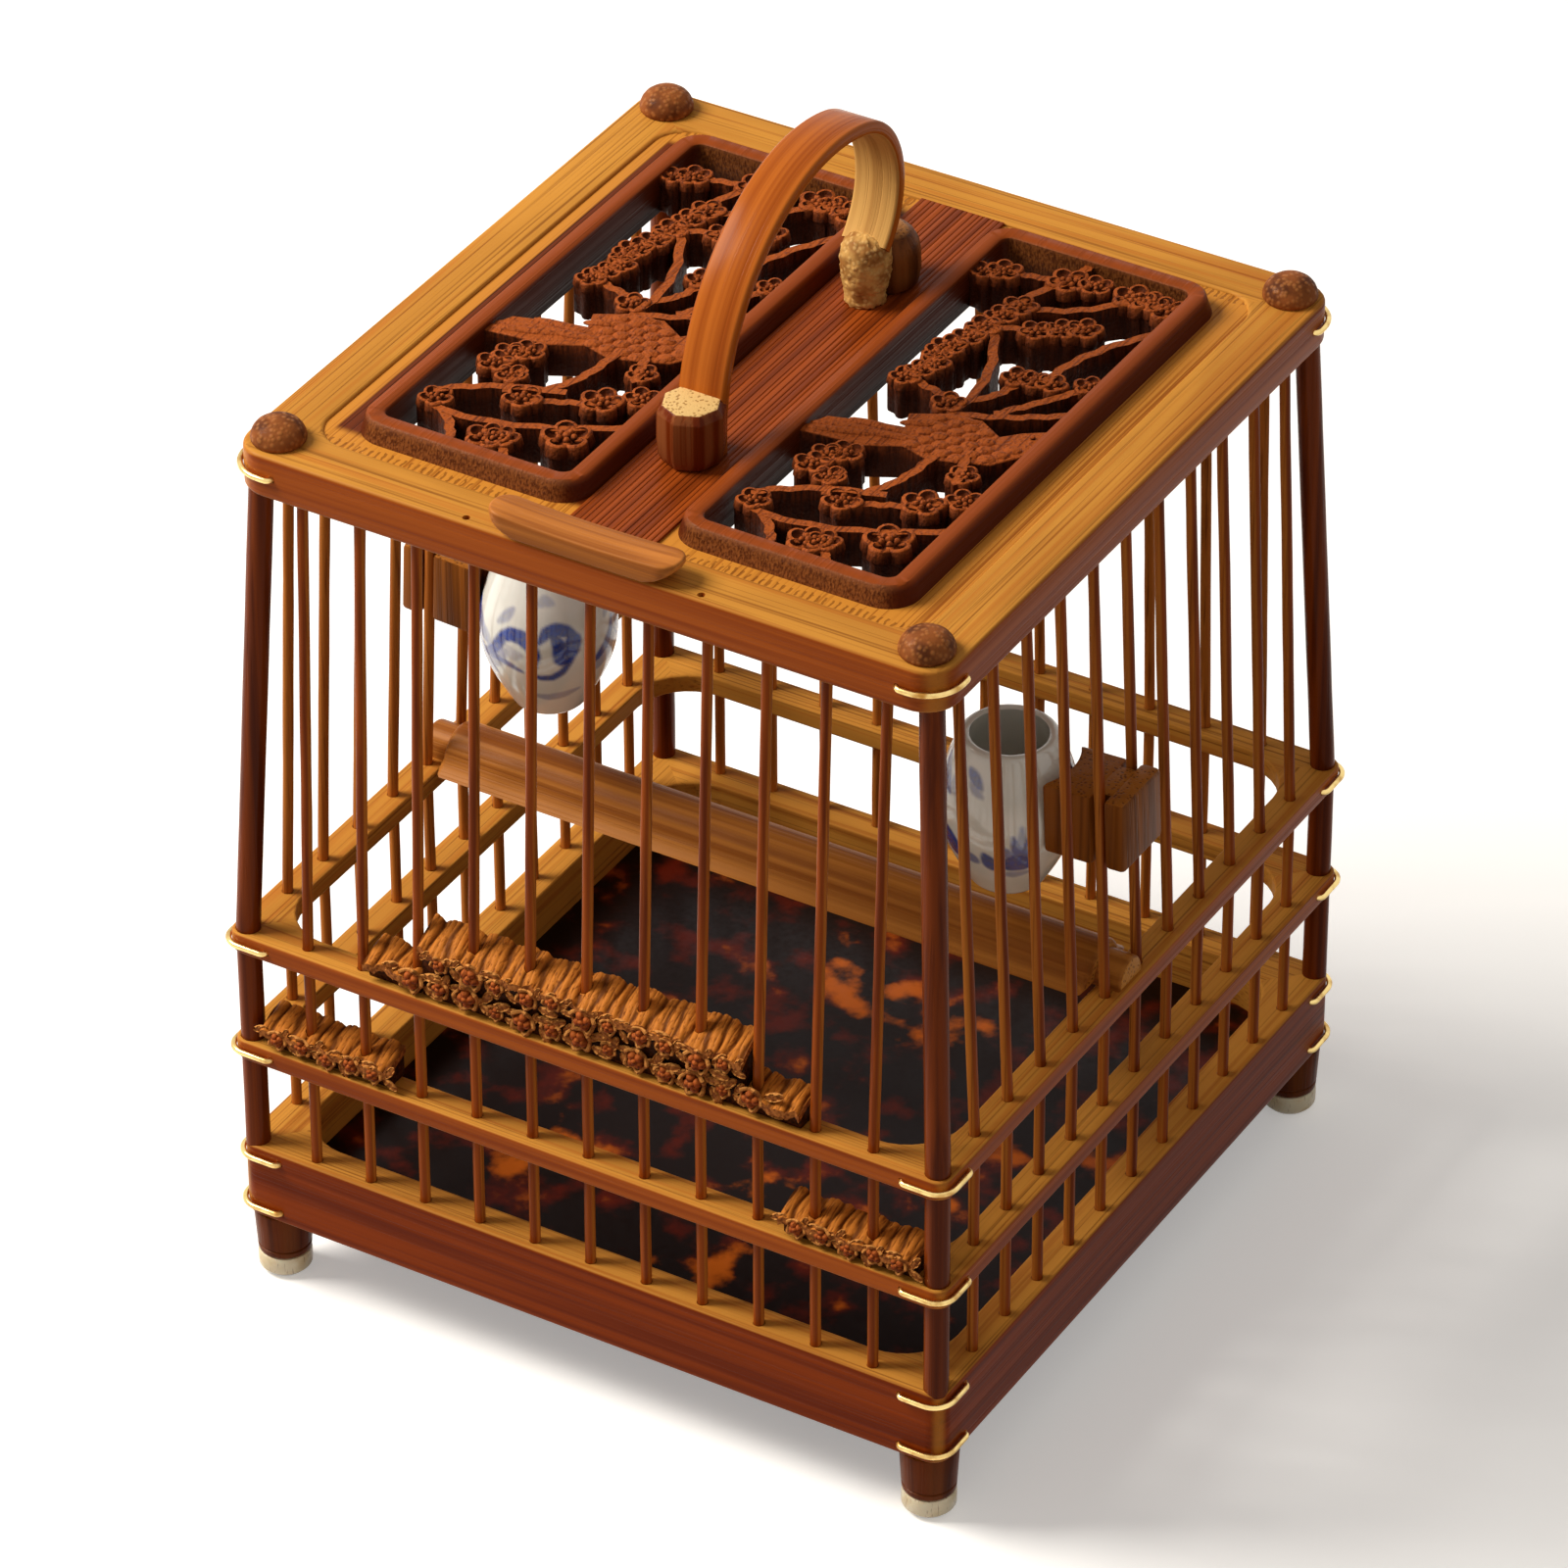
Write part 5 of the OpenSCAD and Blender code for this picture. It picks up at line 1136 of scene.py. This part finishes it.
def crest_roof(x_from, x_to, flutes, top, fall):
    """A slab of roof that falls to the front, cut in uneven flutes, humped at the back and scalloped in front."""
    slab = fresh(bpy.ops.mesh.primitive_grid_add, x_subdivisions=flutes * 14, y_subdivisions=9, size=1)
    cut = slab.data.attributes.new("cut", "FLOAT", "POINT")
    for vertex, mark in zip(slab.data.vertices, cut.data):
        forward, number = 0.5 - vertex.co.y, (vertex.co.x + 0.5) * flutes
        x = x_from + (x_to - x_from) * (vertex.co.x + 0.5)
        uneven = 0.2 * math.sin(1.7 * number) + 0.12 * math.sin(5 * forward + x / MM)
        flute = abs(math.sin(math.pi * (number + uneven)))
        hump = abs(math.sin(math.pi * x / HUMP_PITCH))
        scallop = abs(math.sin(math.pi * x / HUMP_PITCH + 0.9)) * forward ** 4
        ripple = 1 - abs(math.sin(2.3 * math.pi * number + 0.4 * math.sin(4 * forward)))
        # The cut value marks the flute grooves, which the finish darkens as painted shade.
        mark.value = max((1 - flute) ** 1.5, 0.7 * ripple ** 3)
        depth = FLUTE * (0.75 + 0.25 * math.sin(number * 2.3)) * (1 - flute)
        depth += HUMP * (1 - hump) * (1 - forward) + RIPPLE * ripple ** 2
        y = CREST_BACK + (CREST_FRONT - CREST_BACK) * forward + SCALLOP * (1 - scallop) * forward ** 4
        vertex.co = (x, y, top - fall * forward - depth - SCALLOP * scallop)
    open_mesh(slab)
    push(0, 0, -ROOF_THICK)
    close_mesh(slab)
    for face in slab.data.polygons:
        face.material_index = int(abs(face.normal.z) < 0.3)
    return dip(slab, crest_roof_finish, crest_rim)


def block(low, high, edge):
    """A block between two corners with its edges rounded."""
    low, high = Vector(low), Vector(high)
    cube = fresh(bpy.ops.mesh.primitive_cube_add, size=1)
    open_mesh(cube)
    bpy.ops.transform.resize(value=high - low)
    bpy.ops.transform.translate(value=(high + low) / 2)
    whole("EDGE")
    soften(edge, 2)
    return close_mesh(cube)


def crest_flower():
    """A flower of unit radius that faces the front: a ragged cup rim round a knot of round petals."""
    rim = fresh(bpy.ops.mesh.primitive_torus_add, major_segments=25, minor_segments=7, major_radius=0.82,
                minor_radius=0.15, rotation=(math.pi / 2, 0, 0))
    for vertex in rim.data.vertices:
        ragged = math.cos(5 * math.atan2(vertex.co.z, vertex.co.x))
        vertex.co *= 1 + 0.1 * ragged
        vertex.co.y -= 0.12 * ragged
    knot = []
    for number in range(4):
        angle = 0.5 + number * math.tau / 4
        place = Vector((0.36 * math.cos(angle), 0.05, 0.36 * math.sin(angle)))
        knot.append(ball(place, (0.34, 0.42, 0.34), 10, 7))
    knot.append(ball(Vector((0, -0.18, 0)), (0.26, 0.3, 0.26), 10, 7))
    return join([dip(rim, crest_rim)] + [dip(petal, crest_petal) for petal in knot])


def crest_leaf():
    """A hollowed pointed leaf of unit length that faces the front, with a raised rim."""
    leaf = ball(Vector((0, 0, 0)), (1, 0.34, 0.42), 14, 8)
    open_mesh(leaf)
    pick(leaf, "FACE", lambda f: f.normal.y < -0.55)
    bpy.ops.mesh.inset(thickness=0.1, depth=0)
    bpy.ops.transform.translate(value=(0, 0.22, 0))
    return dip(close_mesh(leaf), crest_rim)


def carved_finish(name, top, strand, wall, wall_dark, gloss=0.42):
    """Carved bamboo, lighter where it faces up and dark on its walls as painted light and shade, and dark in the
    grooves that the cut attribute marks, which is painted shade.
    """
    finish, place = new_finish(name, Specular_IOR_Level=0.04)
    _, normal, marks = survey(place, "YXZ")
    saw = speckle(place, 0.5 * MM, 3)
    raised = blend(times(marks["Strand"], 0.8), top, strand)
    # Painted shade in the flute grooves that the cut attribute marks.
    groove_shade = shade("Attribute", tree=place.id_data, attribute_name="cut")["Fac"]
    raised = blend(ramp(groove_shade, 0.1, 0.8, 0.0, 0.85), raised, wall_dark)
    side = blend(ramp(saw, 0.35, 0.65), wall, wall_dark)
    # Tops lighter than walls: painted light and shade.
    colour = blend(ramp(normal[2], 0.1, 0.7), side, raised)
    chips = speckle(place, 0.3 * MM, 3)
    height = sums("ADD", times(chips, 0.7), times(marks["Strand"], -0.6))
    return dress(finish, colour, ramp(chips, 0.3, 0.7, gloss + 0.14, gloss - 0.06), height, 0.1 * MM, 0.6)


crest_roof_finish = carved_finish("crest_roof", tint(198, 120, 46), tint(128, 68, 24), tint(130, 70, 26),
                                  tint(82, 38, 11))
# The crest's walls take a darker copy of the roof's finish: painted shade under the roof and behind the flowers.
crest_wall_shade_finish = carved_finish("crest_wall_shade", tint(110, 56, 22), tint(60, 28, 10), tint(70, 32, 12),
                                  tint(34, 14, 5))
crest_petal = carved_finish("crest_petal", tint(176, 92, 40), tint(120, 56, 20), tint(150, 68, 28), tint(96, 40, 14),
                            gloss=0.36)
crest_rim = carved_finish("crest_rim", tint(206, 140, 72), tint(140, 84, 36), tint(172, 104, 50), tint(112, 58, 24))


def crest(steps, rows, base, bores):
    """One crest: each step has its ends, height and flutes; each row of flowers its height, places and size."""
    solid = []
    for x_from, x_to, height, flutes in steps:
        top, fall = base + height, ROOF_FALL + 0.17 * height
        solid.append(crest_roof(x_from, x_to, flutes, top, fall))
        middle_y = CREST_BACK - WALL_STEP
        for back_y, front_y, level in ((CREST_BACK - 0.1 * MM, middle_y, top - 0.46 * fall - 0.8 * MM),
                                       (middle_y + 0.3 * MM, CREST_WALL, top - fall - 0.55 * MM)):
            # The walls get the darker finish, which is painted shade.
            wall = block((x_from + WALL_INSET, front_y, base), (x_to - WALL_INSET, back_y, level), WALL_EASE)
            solid.append(dip(wall, crest_wall_shade_finish))
    for part in solid:
        drill(part, bores)
    flower, leaf = crest_flower(), crest_leaf()
    for row, (height, out, places, size) in enumerate(rows):
        for number, x in enumerate(places):
            spin = Matrix.Rotation(1.9 * number + row, 4, "Y")
            scale = Matrix.Scale(size * (1 + 0.12 * math.sin(3.1 * number + row)), 4)
            place = Vector((x, CREST_WALL - out, base + height + 0.35 * MM * math.sin(2.3 * number + row)))
            solid.append(copy_of(flower, Matrix.Translation(place) @ spin @ scale))
            for side, lift, tilt in ((-1, 0.55, 0.7), (1, -0.5, 0.6), (1, 0.75, -0.5)):
                away = Vector((side * size * 1.7, 0.1 * MM, lift * size))
                lean_leaf = Matrix.Rotation(side * tilt + 0.5 * math.sin(number * 4.1 + row + lift), 4, "Y")
                solid.append(copy_of(leaf, Matrix.Translation(place + away) @ lean_leaf @ Matrix.Scale(0.8 * size, 4)))
    bpy.data.objects.remove(flower)
    bpy.data.objects.remove(leaf)
    return join(solid)


CREST_MID, CREST_END, CREST_TALL, CREST_LOW = 23.5 * MM, 31.5 * MM, 10.5 * MM, 4.6 * MM
LONG_STEPS = ((-CREST_MID, CREST_MID, CREST_TALL, 24), (-CREST_END, -CREST_MID, CREST_LOW, 4),
              (CREST_MID, CREST_END, CREST_LOW, 4))
LONG_ROWS = ((2.2 * MM, 0.7 * MM, [i * BAR_PITCH for i in range(-3, 4)], 1.9 * MM),
             (5.9 * MM, 1.0 * MM, [(i + 0.1) * BAR_PITCH for i in range(-2, 3)], 1.8 * MM),
             (2.0 * MM, 0.6 * MM, [(i + 0.5) * BAR_PITCH for i in range(-3, 3)], 1.4 * MM),
             (6.3 * MM, 1.1 * MM, [(i + 0.55) * BAR_PITCH for i in range(-3, 3)], 1.3 * MM))
long_bores = [(on_lean(x, middle_top + CREST_TALL / 2), leaned, 3 * CREST_TALL, CREST_HOLE) for x in bar_places[2:9]]
front_crest = crest(LONG_STEPS, LONG_ROWS, middle_top, long_bores)
fit(front_crest, "carved_long_crest", "cage", "carved_crest", [], "front_crest", smooth=40)

RING_RISE = 16.8 * MM
CORNER_FROM, CORNER_TO, CORNER_TALL, FLOWER_PITCH = 28.6 * MM, 47.6 * MM, 5 * MM, 4.1 * MM
lower_top = middle_top - RING_RISE
for name, side in (("right", 1), ("left", -1)):
    start, stop = sorted((side * CORNER_FROM, side * CORNER_TO))
    flowers = [start + k * FLOWER_PITCH for k in (0.6, 1.5, 2.4, 3.3, 4.1)]
    bores = [((side * i * BAR_PITCH, -POST_HALF, lower_top), UP, 4 * CORNER_TALL, CREST_HOLE) for i in (4, 5)]
    small = crest(((start, stop, CORNER_TALL, 9),), ((2.0 * MM, 0.9 * MM, flowers, 1.5 * MM),), lower_top, bores)
    fit(small, "carved_small_crest_" + name, "cage", "carved_crest", [], "corner_crest_" + name, smooth=40)


# Perch
# A half-round stick of bamboo across the cage, flat underneath, its ends rounded and then cut narrower.
# The narrow ends lie on the side rails of the middle ring between two bars.

PERCH_Y = -BAR_PITCH / 2
PERCH_BODY = (8.4 * MM, 4.5 * MM, 47.8 * MM, 0.9 * MM)
PERCH_ENDS = (5.6 * MM, 3.6 * MM, 51.5 * MM, 0.5 * MM)


def half_round(wide, tall, half_length, rounding):
    """A half-round stick along X that stands on the middle ring, with its ends rounded."""
    outline = []
    radius = wide / 2 - rounding
    foot = tall - wide / 2
    for step in range(17):
        angle = math.pi * step / 16
        outline.append(Vector((radius * math.cos(angle), max(foot + radius * math.sin(angle), rounding), 0)))
    outline += [Vector((-radius, rounding, 0)), Vector((radius, rounding, 0))]
    stick = flat_curve([outline], True, rounding, -half_length, half_length)
    stick.data.transform(Matrix(((0, 0, 1, 0), (1, 0, 0, PERCH_Y), (0, 1, 0, middle_top), (0, 0, 0, 1))))
    open_mesh(stick)
    return close_mesh(stick)


perch_finish = bamboo("perch_bamboo", "X", tint(196, 132, 58), tint(128, 75, 28), tint(174, 108, 44),
                      tint(128, 69, 23), gloss=(0.5, 0.36), relief=0.1, arris=0.1)
perch = join([half_round(*PERCH_BODY), half_round(*PERCH_ENDS)])
fit(perch, "half_round_perch", "cage", "bamboo_rails", perch_finish, "perch", smooth=40)


# Feed cups
# Two small jars of white porcelain, thrown thin, painted in blue under the glaze with curls and leaves.
# Each sits in the hollow of its holder and slides with it.

CUP_TALL, CUP_BELLY, CUP_R, CUP_MOUTH, CUP_FOOT, CUP_WALL = 21.6, 11.5, 8.9, 6.1, 4.65, 1.2
CUP_SIDES, CUP_FACING = 220, 59
FIGURES = (0, 150, 255)
BRUSH_EDGE = 0.2


def cup_radius(z, inset=0.0):
    """Radius of the jar at a height: it swells from the foot to the belly and closes to the mouth."""
    if z < CUP_BELLY:
        return CUP_FOOT + (CUP_R - CUP_FOOT) * math.sin(math.pi / 2 * z / CUP_BELLY) - inset
    closing = math.cos(math.pi / 2 * (z - CUP_BELLY) / (CUP_TALL - CUP_BELLY))
    return CUP_MOUTH + (CUP_R - CUP_MOUTH) * closing - inset


foot = [(0, 0.7), (3.5, 0.7), (3.7, 0.3), (3.85, 0.0), (4.5, 0.0)]
outside = [(cup_radius(z), z) for z in np.linspace(0.35, CUP_TALL - 0.5, 84)]
rim = [(CUP_MOUTH - inward, CUP_TALL - drop) for inward, drop in ((0.06, 0.2), (0.3, 0), (0.85, 0), (1.1, 0.2))]
inside = [(cup_radius(z, CUP_WALL), z) for z in np.linspace(CUP_TALL - 0.5, 1.9, 24)]
CUP_TURN = foot + outside + rim + inside + [(2.4, 1.35), (0, 1.3)]

LEFT_STROKES = (
    (((-49, 12.0), (-40, 13.6), (-32, 14.3), (-22, 14.2), (-14, 13.2), (-10, 11.8), (-11, 10.2)), 0.6, 1.0),
    (((-7, 13.8), (0, 15.2), (8, 15.5), (17, 15.2), (24, 14.6)), 0.55, 1.0),
    (((6, 14.6), (11, 13.0), (13, 11.6), (19, 12.6), (23, 13.8), (20, 14.4)), 0.8, 1.0),
    (((-15, 8.9), (-6, 8.3), (4, 8.4), (12, 9.2), (19, 10.8), (24, 12.0)), 0.32, 0.9),
    (((-80, 12.4), (-72, 10.4), (-62, 9.5), (-46, 10.0), (-32, 9.6), (-22, 9.0)), 0.34, 0.8),
    (((-78, 14.6), (-70, 12.6), (-60, 11.4)), 0.6, 0.65), (((-66, 13.2), (-60, 12.0), (-52, 10.8)), 0.5, 0.45),
    (((-70, 8.4), (-60, 7.6), (-52, 7.2)), 0.5, 0.6),
    (((36, 9.2), (46, 10.0), (56, 11.2), (64, 12.8), (68, 14.4)), 0.45, 0.9),
    (((44, 8.2), (56, 9.6), (68, 11.6)), 0.7, 0.5), (((-16, 4.8), (0, 4.4), (16, 4.8), (30, 5.4)), 0.4, 0.45),
    (((-8, 18.6), (-2, 19.2), (6, 18.8)), 0.4, 0.4), (((58, 15.2), (66, 16.4), (72, 17.6)), 0.4, 0.5),
    (((-36, 12.4), (-30, 11.4), (-22, 11.6)), 0.5, 0.3))
RIGHT_STROKES = (
    (((-84, 19.0), (-78, 17.6), (-70, 16.2), (-62, 15.4)), 0.6, 0.8),
    (((-80, 16.8), (-72, 15.0), (-66, 13.8)), 0.5, 0.55),
    (((-60, 17.4), (-56, 16.4), (-50, 16.0)), 0.55, 0.5), (((-44, 19.4), (-36, 18.6), (-28, 17.6)), 0.45, 0.75),
    (((-40, 18.0), (-34, 17.2), (-26, 16.6)), 0.35, 0.5),
    (((-66, 10.4), (-60, 9.0), (-54, 7.6), (-48, 6.6)), 0.95, 1.0),
    (((-40, 7.6), (-35, 7.2), (-30, 6.8)), 0.5, 0.7), (((-22, 8.4), (-18, 7.0), (-14, 6.0)), 0.6, 0.85),
    (((4, 7.2), (6, 9.4), (2, 11.6)), 0.45, 0.8), (((6, 7.4), (9, 10.0), (9, 13.0)), 0.4, 0.6),
    (((8, 7.2), (13, 9.4), (16, 11.6)), 0.45, 0.8), (((2, 7.6), (-2, 9.0), (-7, 10.0)), 0.4, 0.7),
    (((-6, 7.0), (6, 7.4), (18, 7.0)), 0.9, 0.9), (((-10, 5.2), (4, 5.0), (20, 5.4)), 0.35, 0.5))


def paint(cup, x, y, low, strokes):
    """Records at every point how much blue the brush left there; the figure is repeated on the far side."""
    spots = []
    for shift in FIGURES:
        for points, width, strength in strokes:
            share = np.linspace(0, len(points) - 1, 9 * len(points))
            turned, raised = (np.interp(share, range(len(points)), values) for values in zip(*points))
            widths = width * (0.7 + 1.05 * np.sin(math.pi * share / share[-1]))
            spots += [(*spot, strength) for spot in zip(turned + shift, raised, widths)]
    places = np.array([v.co for v in cup.data.vertices]) - (x, y, low)
    away = np.hypot(places[:, 0], places[:, 1])
    angle = np.degrees(np.arctan2(places[:, 1], places[:, 0])) + CUP_FACING
    height = places[:, 2] / MM
    outer = np.array([r > (cup_radius(min(max(z, 0), CUP_TALL)) - 0.3) * MM for r, z in zip(away, height)])
    blue = np.zeros(len(places))
    for turned, raised, width, strength in spots:
        along = np.radians((angle - turned + 180) % 360 - 180) * away / MM
        gap = np.hypot(along, height - raised)
        blue = np.maximum(blue, strength * np.clip((width + BRUSH_EDGE - gap) / (2 * BRUSH_EDGE), 0, 1))
    mark = cup.data.attributes.new("blue", "FLOAT", "POINT")
    mark.data.foreach_set("value", np.where(outer, blue, 0).astype(np.float32))
    return cup


def porcelain():
    """White under a clear glaze, and blue where the brush went."""
    finish, place = new_finish("blue_and_white_porcelain", Coat_Weight=0.5, Coat_Roughness=0.06, IOR=1.5)
    painted = shade("Attribute", tree=place.id_data, attribute_name="blue")["Fac"]
    clouds = speckle(place, 6 * MM, 2)
    white = blend(ramp(clouds, 0.3, 0.7), tint(248, 247, 240), tint(234, 236, 228))
    brush = speckle(place, 0.7 * MM, 3)
    ink = blend(ramp(brush, 0.3, 0.7), tint(8, 26, 120), tint(28, 68, 174))
    washed = times(painted, ramp(brush, 0.1, 0.6, 0.86, 1.0))
    colour = blend(washed, white, ink)
    pits = speckle(place, 0.4 * MM, 2)
    return dress(finish, colour, ramp(pits, 0.3, 0.7, 0.12, 0.24), pits, 0.012 * MM, 0.25)


cup_finish = porcelain()
for name, strokes in (("left", LEFT_STROKES), ("right", RIGHT_STROKES)):
    cup_x, cup_y, cup_foot = axis_of("feed_cup_" + name)
    cup = turn(CUP_TURN, cup_x, cup_y, cup_foot, CUP_SIDES)
    fit(paint(cup, cup_x, cup_y, cup_foot, strokes), "painted_cup_" + name, "feeder_" + name, "porcelain", cup_finish,
        "feed_cup_" + name, smooth=50)


# Cup holders
# A block of brown bamboo hollowed for the cup, a neck that passes between two bars and a flange outside them.
# It grips the bars lightly, so it can be slid up and down and stays where it is put.

HOLDER_WIDE, HOLDER_TALL, NECK_WIDE, ROD_GAP, FLANGE = 10 * MM, 10 * MM, 6.4 * MM, 0.9 * MM, 2.8 * MM
HOLDER_LIP, SEAT_R, SEAT_LENGTH = 7.65 * MM, 8.95 * MM, 60 * MM
NECK_LAP, NECK_INSET = 0.5 * MM, 0.1 * MM
FLANGE_EASE, NECK_EASE, HOLDER_EASE = 0.6 * MM, 0.15 * MM, 0.5 * MM
holder_finish = bamboo("holder_bamboo", "Z", tint(160, 96, 34), tint(88, 46, 12), tint(148, 84, 27), tint(100, 53, 13),
                       gloss=(0.5, 0.36), relief=0.08, arris=0.25)
for name, turns, middle_z, across in (("right", 1, 79.2 * MM, -BAR_PITCH / 2), ("left", 3, 82.9 * MM, BAR_PITCH / 2)):
    holder = []
    for wide, tall, y_from, y_to, ease in (
            (HOLDER_WIDE, HOLDER_TALL, -ROD_GAP - FLANGE, -ROD_GAP, FLANGE_EASE),
            (NECK_WIDE, HOLDER_TALL - 2 * NECK_INSET, -ROD_GAP - NECK_LAP, ROD_GAP + NECK_LAP, NECK_EASE),
            (HOLDER_WIDE, HOLDER_TALL, ROD_GAP, HOLDER_LIP, HOLDER_EASE)):
        holder.append(block((-wide / 2, y_from, -tall / 2), (wide / 2, y_to, tall / 2), ease))
    lean_back = Matrix.Rotation(-LEAN, 4, "X") @ Matrix.Translation((0, 0, (middle_z - middle_top) / math.cos(LEAN)))
    in_place = quarter_turn(turns) @ Matrix.Translation((across, -POST_HALF, middle_top)) @ lean_back
    for part in holder:
        part.data.transform(in_place)
    cup_x, cup_y, _ = axis_of("feed_cup_" + name)
    cut_with(holder[-1], fresh(bpy.ops.mesh.primitive_cylinder_add, vertices=96, radius=SEAT_R, depth=SEAT_LENGTH,
                               location=(cup_x, cup_y, middle_z)))
    fit(join(holder), "bamboo_holder_" + name, "feeder_" + name, "bamboo_rails", holder_finish, "cup_holder_" + name)


# Ground, light and camera
# A pale sweep under the cage, a soft lamp high on the left and weak light from all round.
# The camera stands where the photograph was taken from.

bpy.context.scene.view_settings.view_transform = "Standard"


def seen_rays(tree):
    """One for the rays by which the ground and the sky are seen, straight, in a shine or through glass."""
    rays = shade("LightPath", tree=tree)
    mirrored = sums("MAXIMUM", rays["Is Glossy Ray"], rays["Is Transmission Ray"])
    return sums("MAXIMUM", rays["Is Camera Ray"], mirrored)


def pale_sweep():
    """Near white where it is seen, and darker in what it throws back at the cage."""
    finish, place = new_finish("pale_sweep", Roughness=0.9, Specular_IOR_Level=0.1, Emission_Color=(1, 1, 1, 1))
    tree = finish.node_tree
    surface = tree.nodes["Principled BSDF"].inputs
    seen = seen_rays(tree)
    mottle = blend(speckle(place, 60 * MM, 2), (0.9, 0.9, 0.9, 1), (0.93, 0.93, 0.93, 1))
    tree.links.new(blend(seen, (0.5, 0.45, 0.4, 1), mottle), surface["Base Color"])
    tree.links.new(times(seen, 0.3), surface["Emission Strength"])
    return finish


ground = fresh(bpy.ops.mesh.primitive_plane_add, size=6)
ground.name = "pale_ground"
ground.data.materials.append(pale_sweep())

ROUND_LIGHT = 0.32
world = bpy.data.worlds.new("studio")
bpy.context.scene.world = world
world.use_nodes = True
sky = world.node_tree
seen = seen_rays(sky)
light = sky.nodes["Background"].inputs
sky.links.new(sums("ADD", ROUND_LIGHT, times(seen, 1 - ROUND_LIGHT)), light["Strength"])
sky.links.new(blend(seen, (1.0, 0.92, 0.82, 1), (1, 1, 1, 1)), light["Color"])


def soft_lamp(name, place, target, size, power, colour):
    """A square soft lamp turned towards a point."""
    lamp = bpy.data.lights.new(name, "AREA")
    lamp.size, lamp.energy, lamp.color = size, power, colour
    stand = bpy.data.objects.new(name, lamp)
    stand.location = place
    stand.rotation_euler = (Vector(target) - Vector(place)).to_track_quat("-Z", "Y").to_euler()
    bpy.context.scene.collection.objects.link(stand)


soft_lamp("key", place=(-0.62, -0.24, 0.72), target=(0, 0, 0.08), size=0.42, power=11.0, colour=(1.0, 0.95, 0.87))

AZIMUTH, ELEVATION, DISTANCE = math.radians(30.67), math.radians(35.16), 1.093
TARGET = Vector((0.41, 0.24, 63.7)) * MM
ROLL = math.radians(-0.19)
FOCAL_PIXELS, FRAME_PIXELS, SENSOR = 8787.7, 1600, 36
SHIFT_PIXELS = (12.2, 0.6)
back = Vector((math.sin(AZIMUTH) * math.cos(ELEVATION), -math.cos(AZIMUTH) * math.cos(ELEVATION), math.sin(ELEVATION)))
camera_data = bpy.data.cameras.new("camera")
camera_data.sensor_width = SENSOR
camera_data.lens = SENSOR * FOCAL_PIXELS / FRAME_PIXELS
camera_data.shift_x = -SHIFT_PIXELS[0] / FRAME_PIXELS
camera_data.shift_y = SHIFT_PIXELS[1] / FRAME_PIXELS
camera_data.clip_start, camera_data.clip_end = 0.01, 20
camera = bpy.data.objects.new("camera", camera_data)
camera.location = TARGET + DISTANCE * back
camera.rotation_euler = (back.to_track_quat("Z", "Y") @ Matrix.Rotation(ROLL, 3, "Z").to_quaternion()).to_euler()
bpy.context.scene.collection.objects.link(camera)
bpy.context.scene.camera = camera
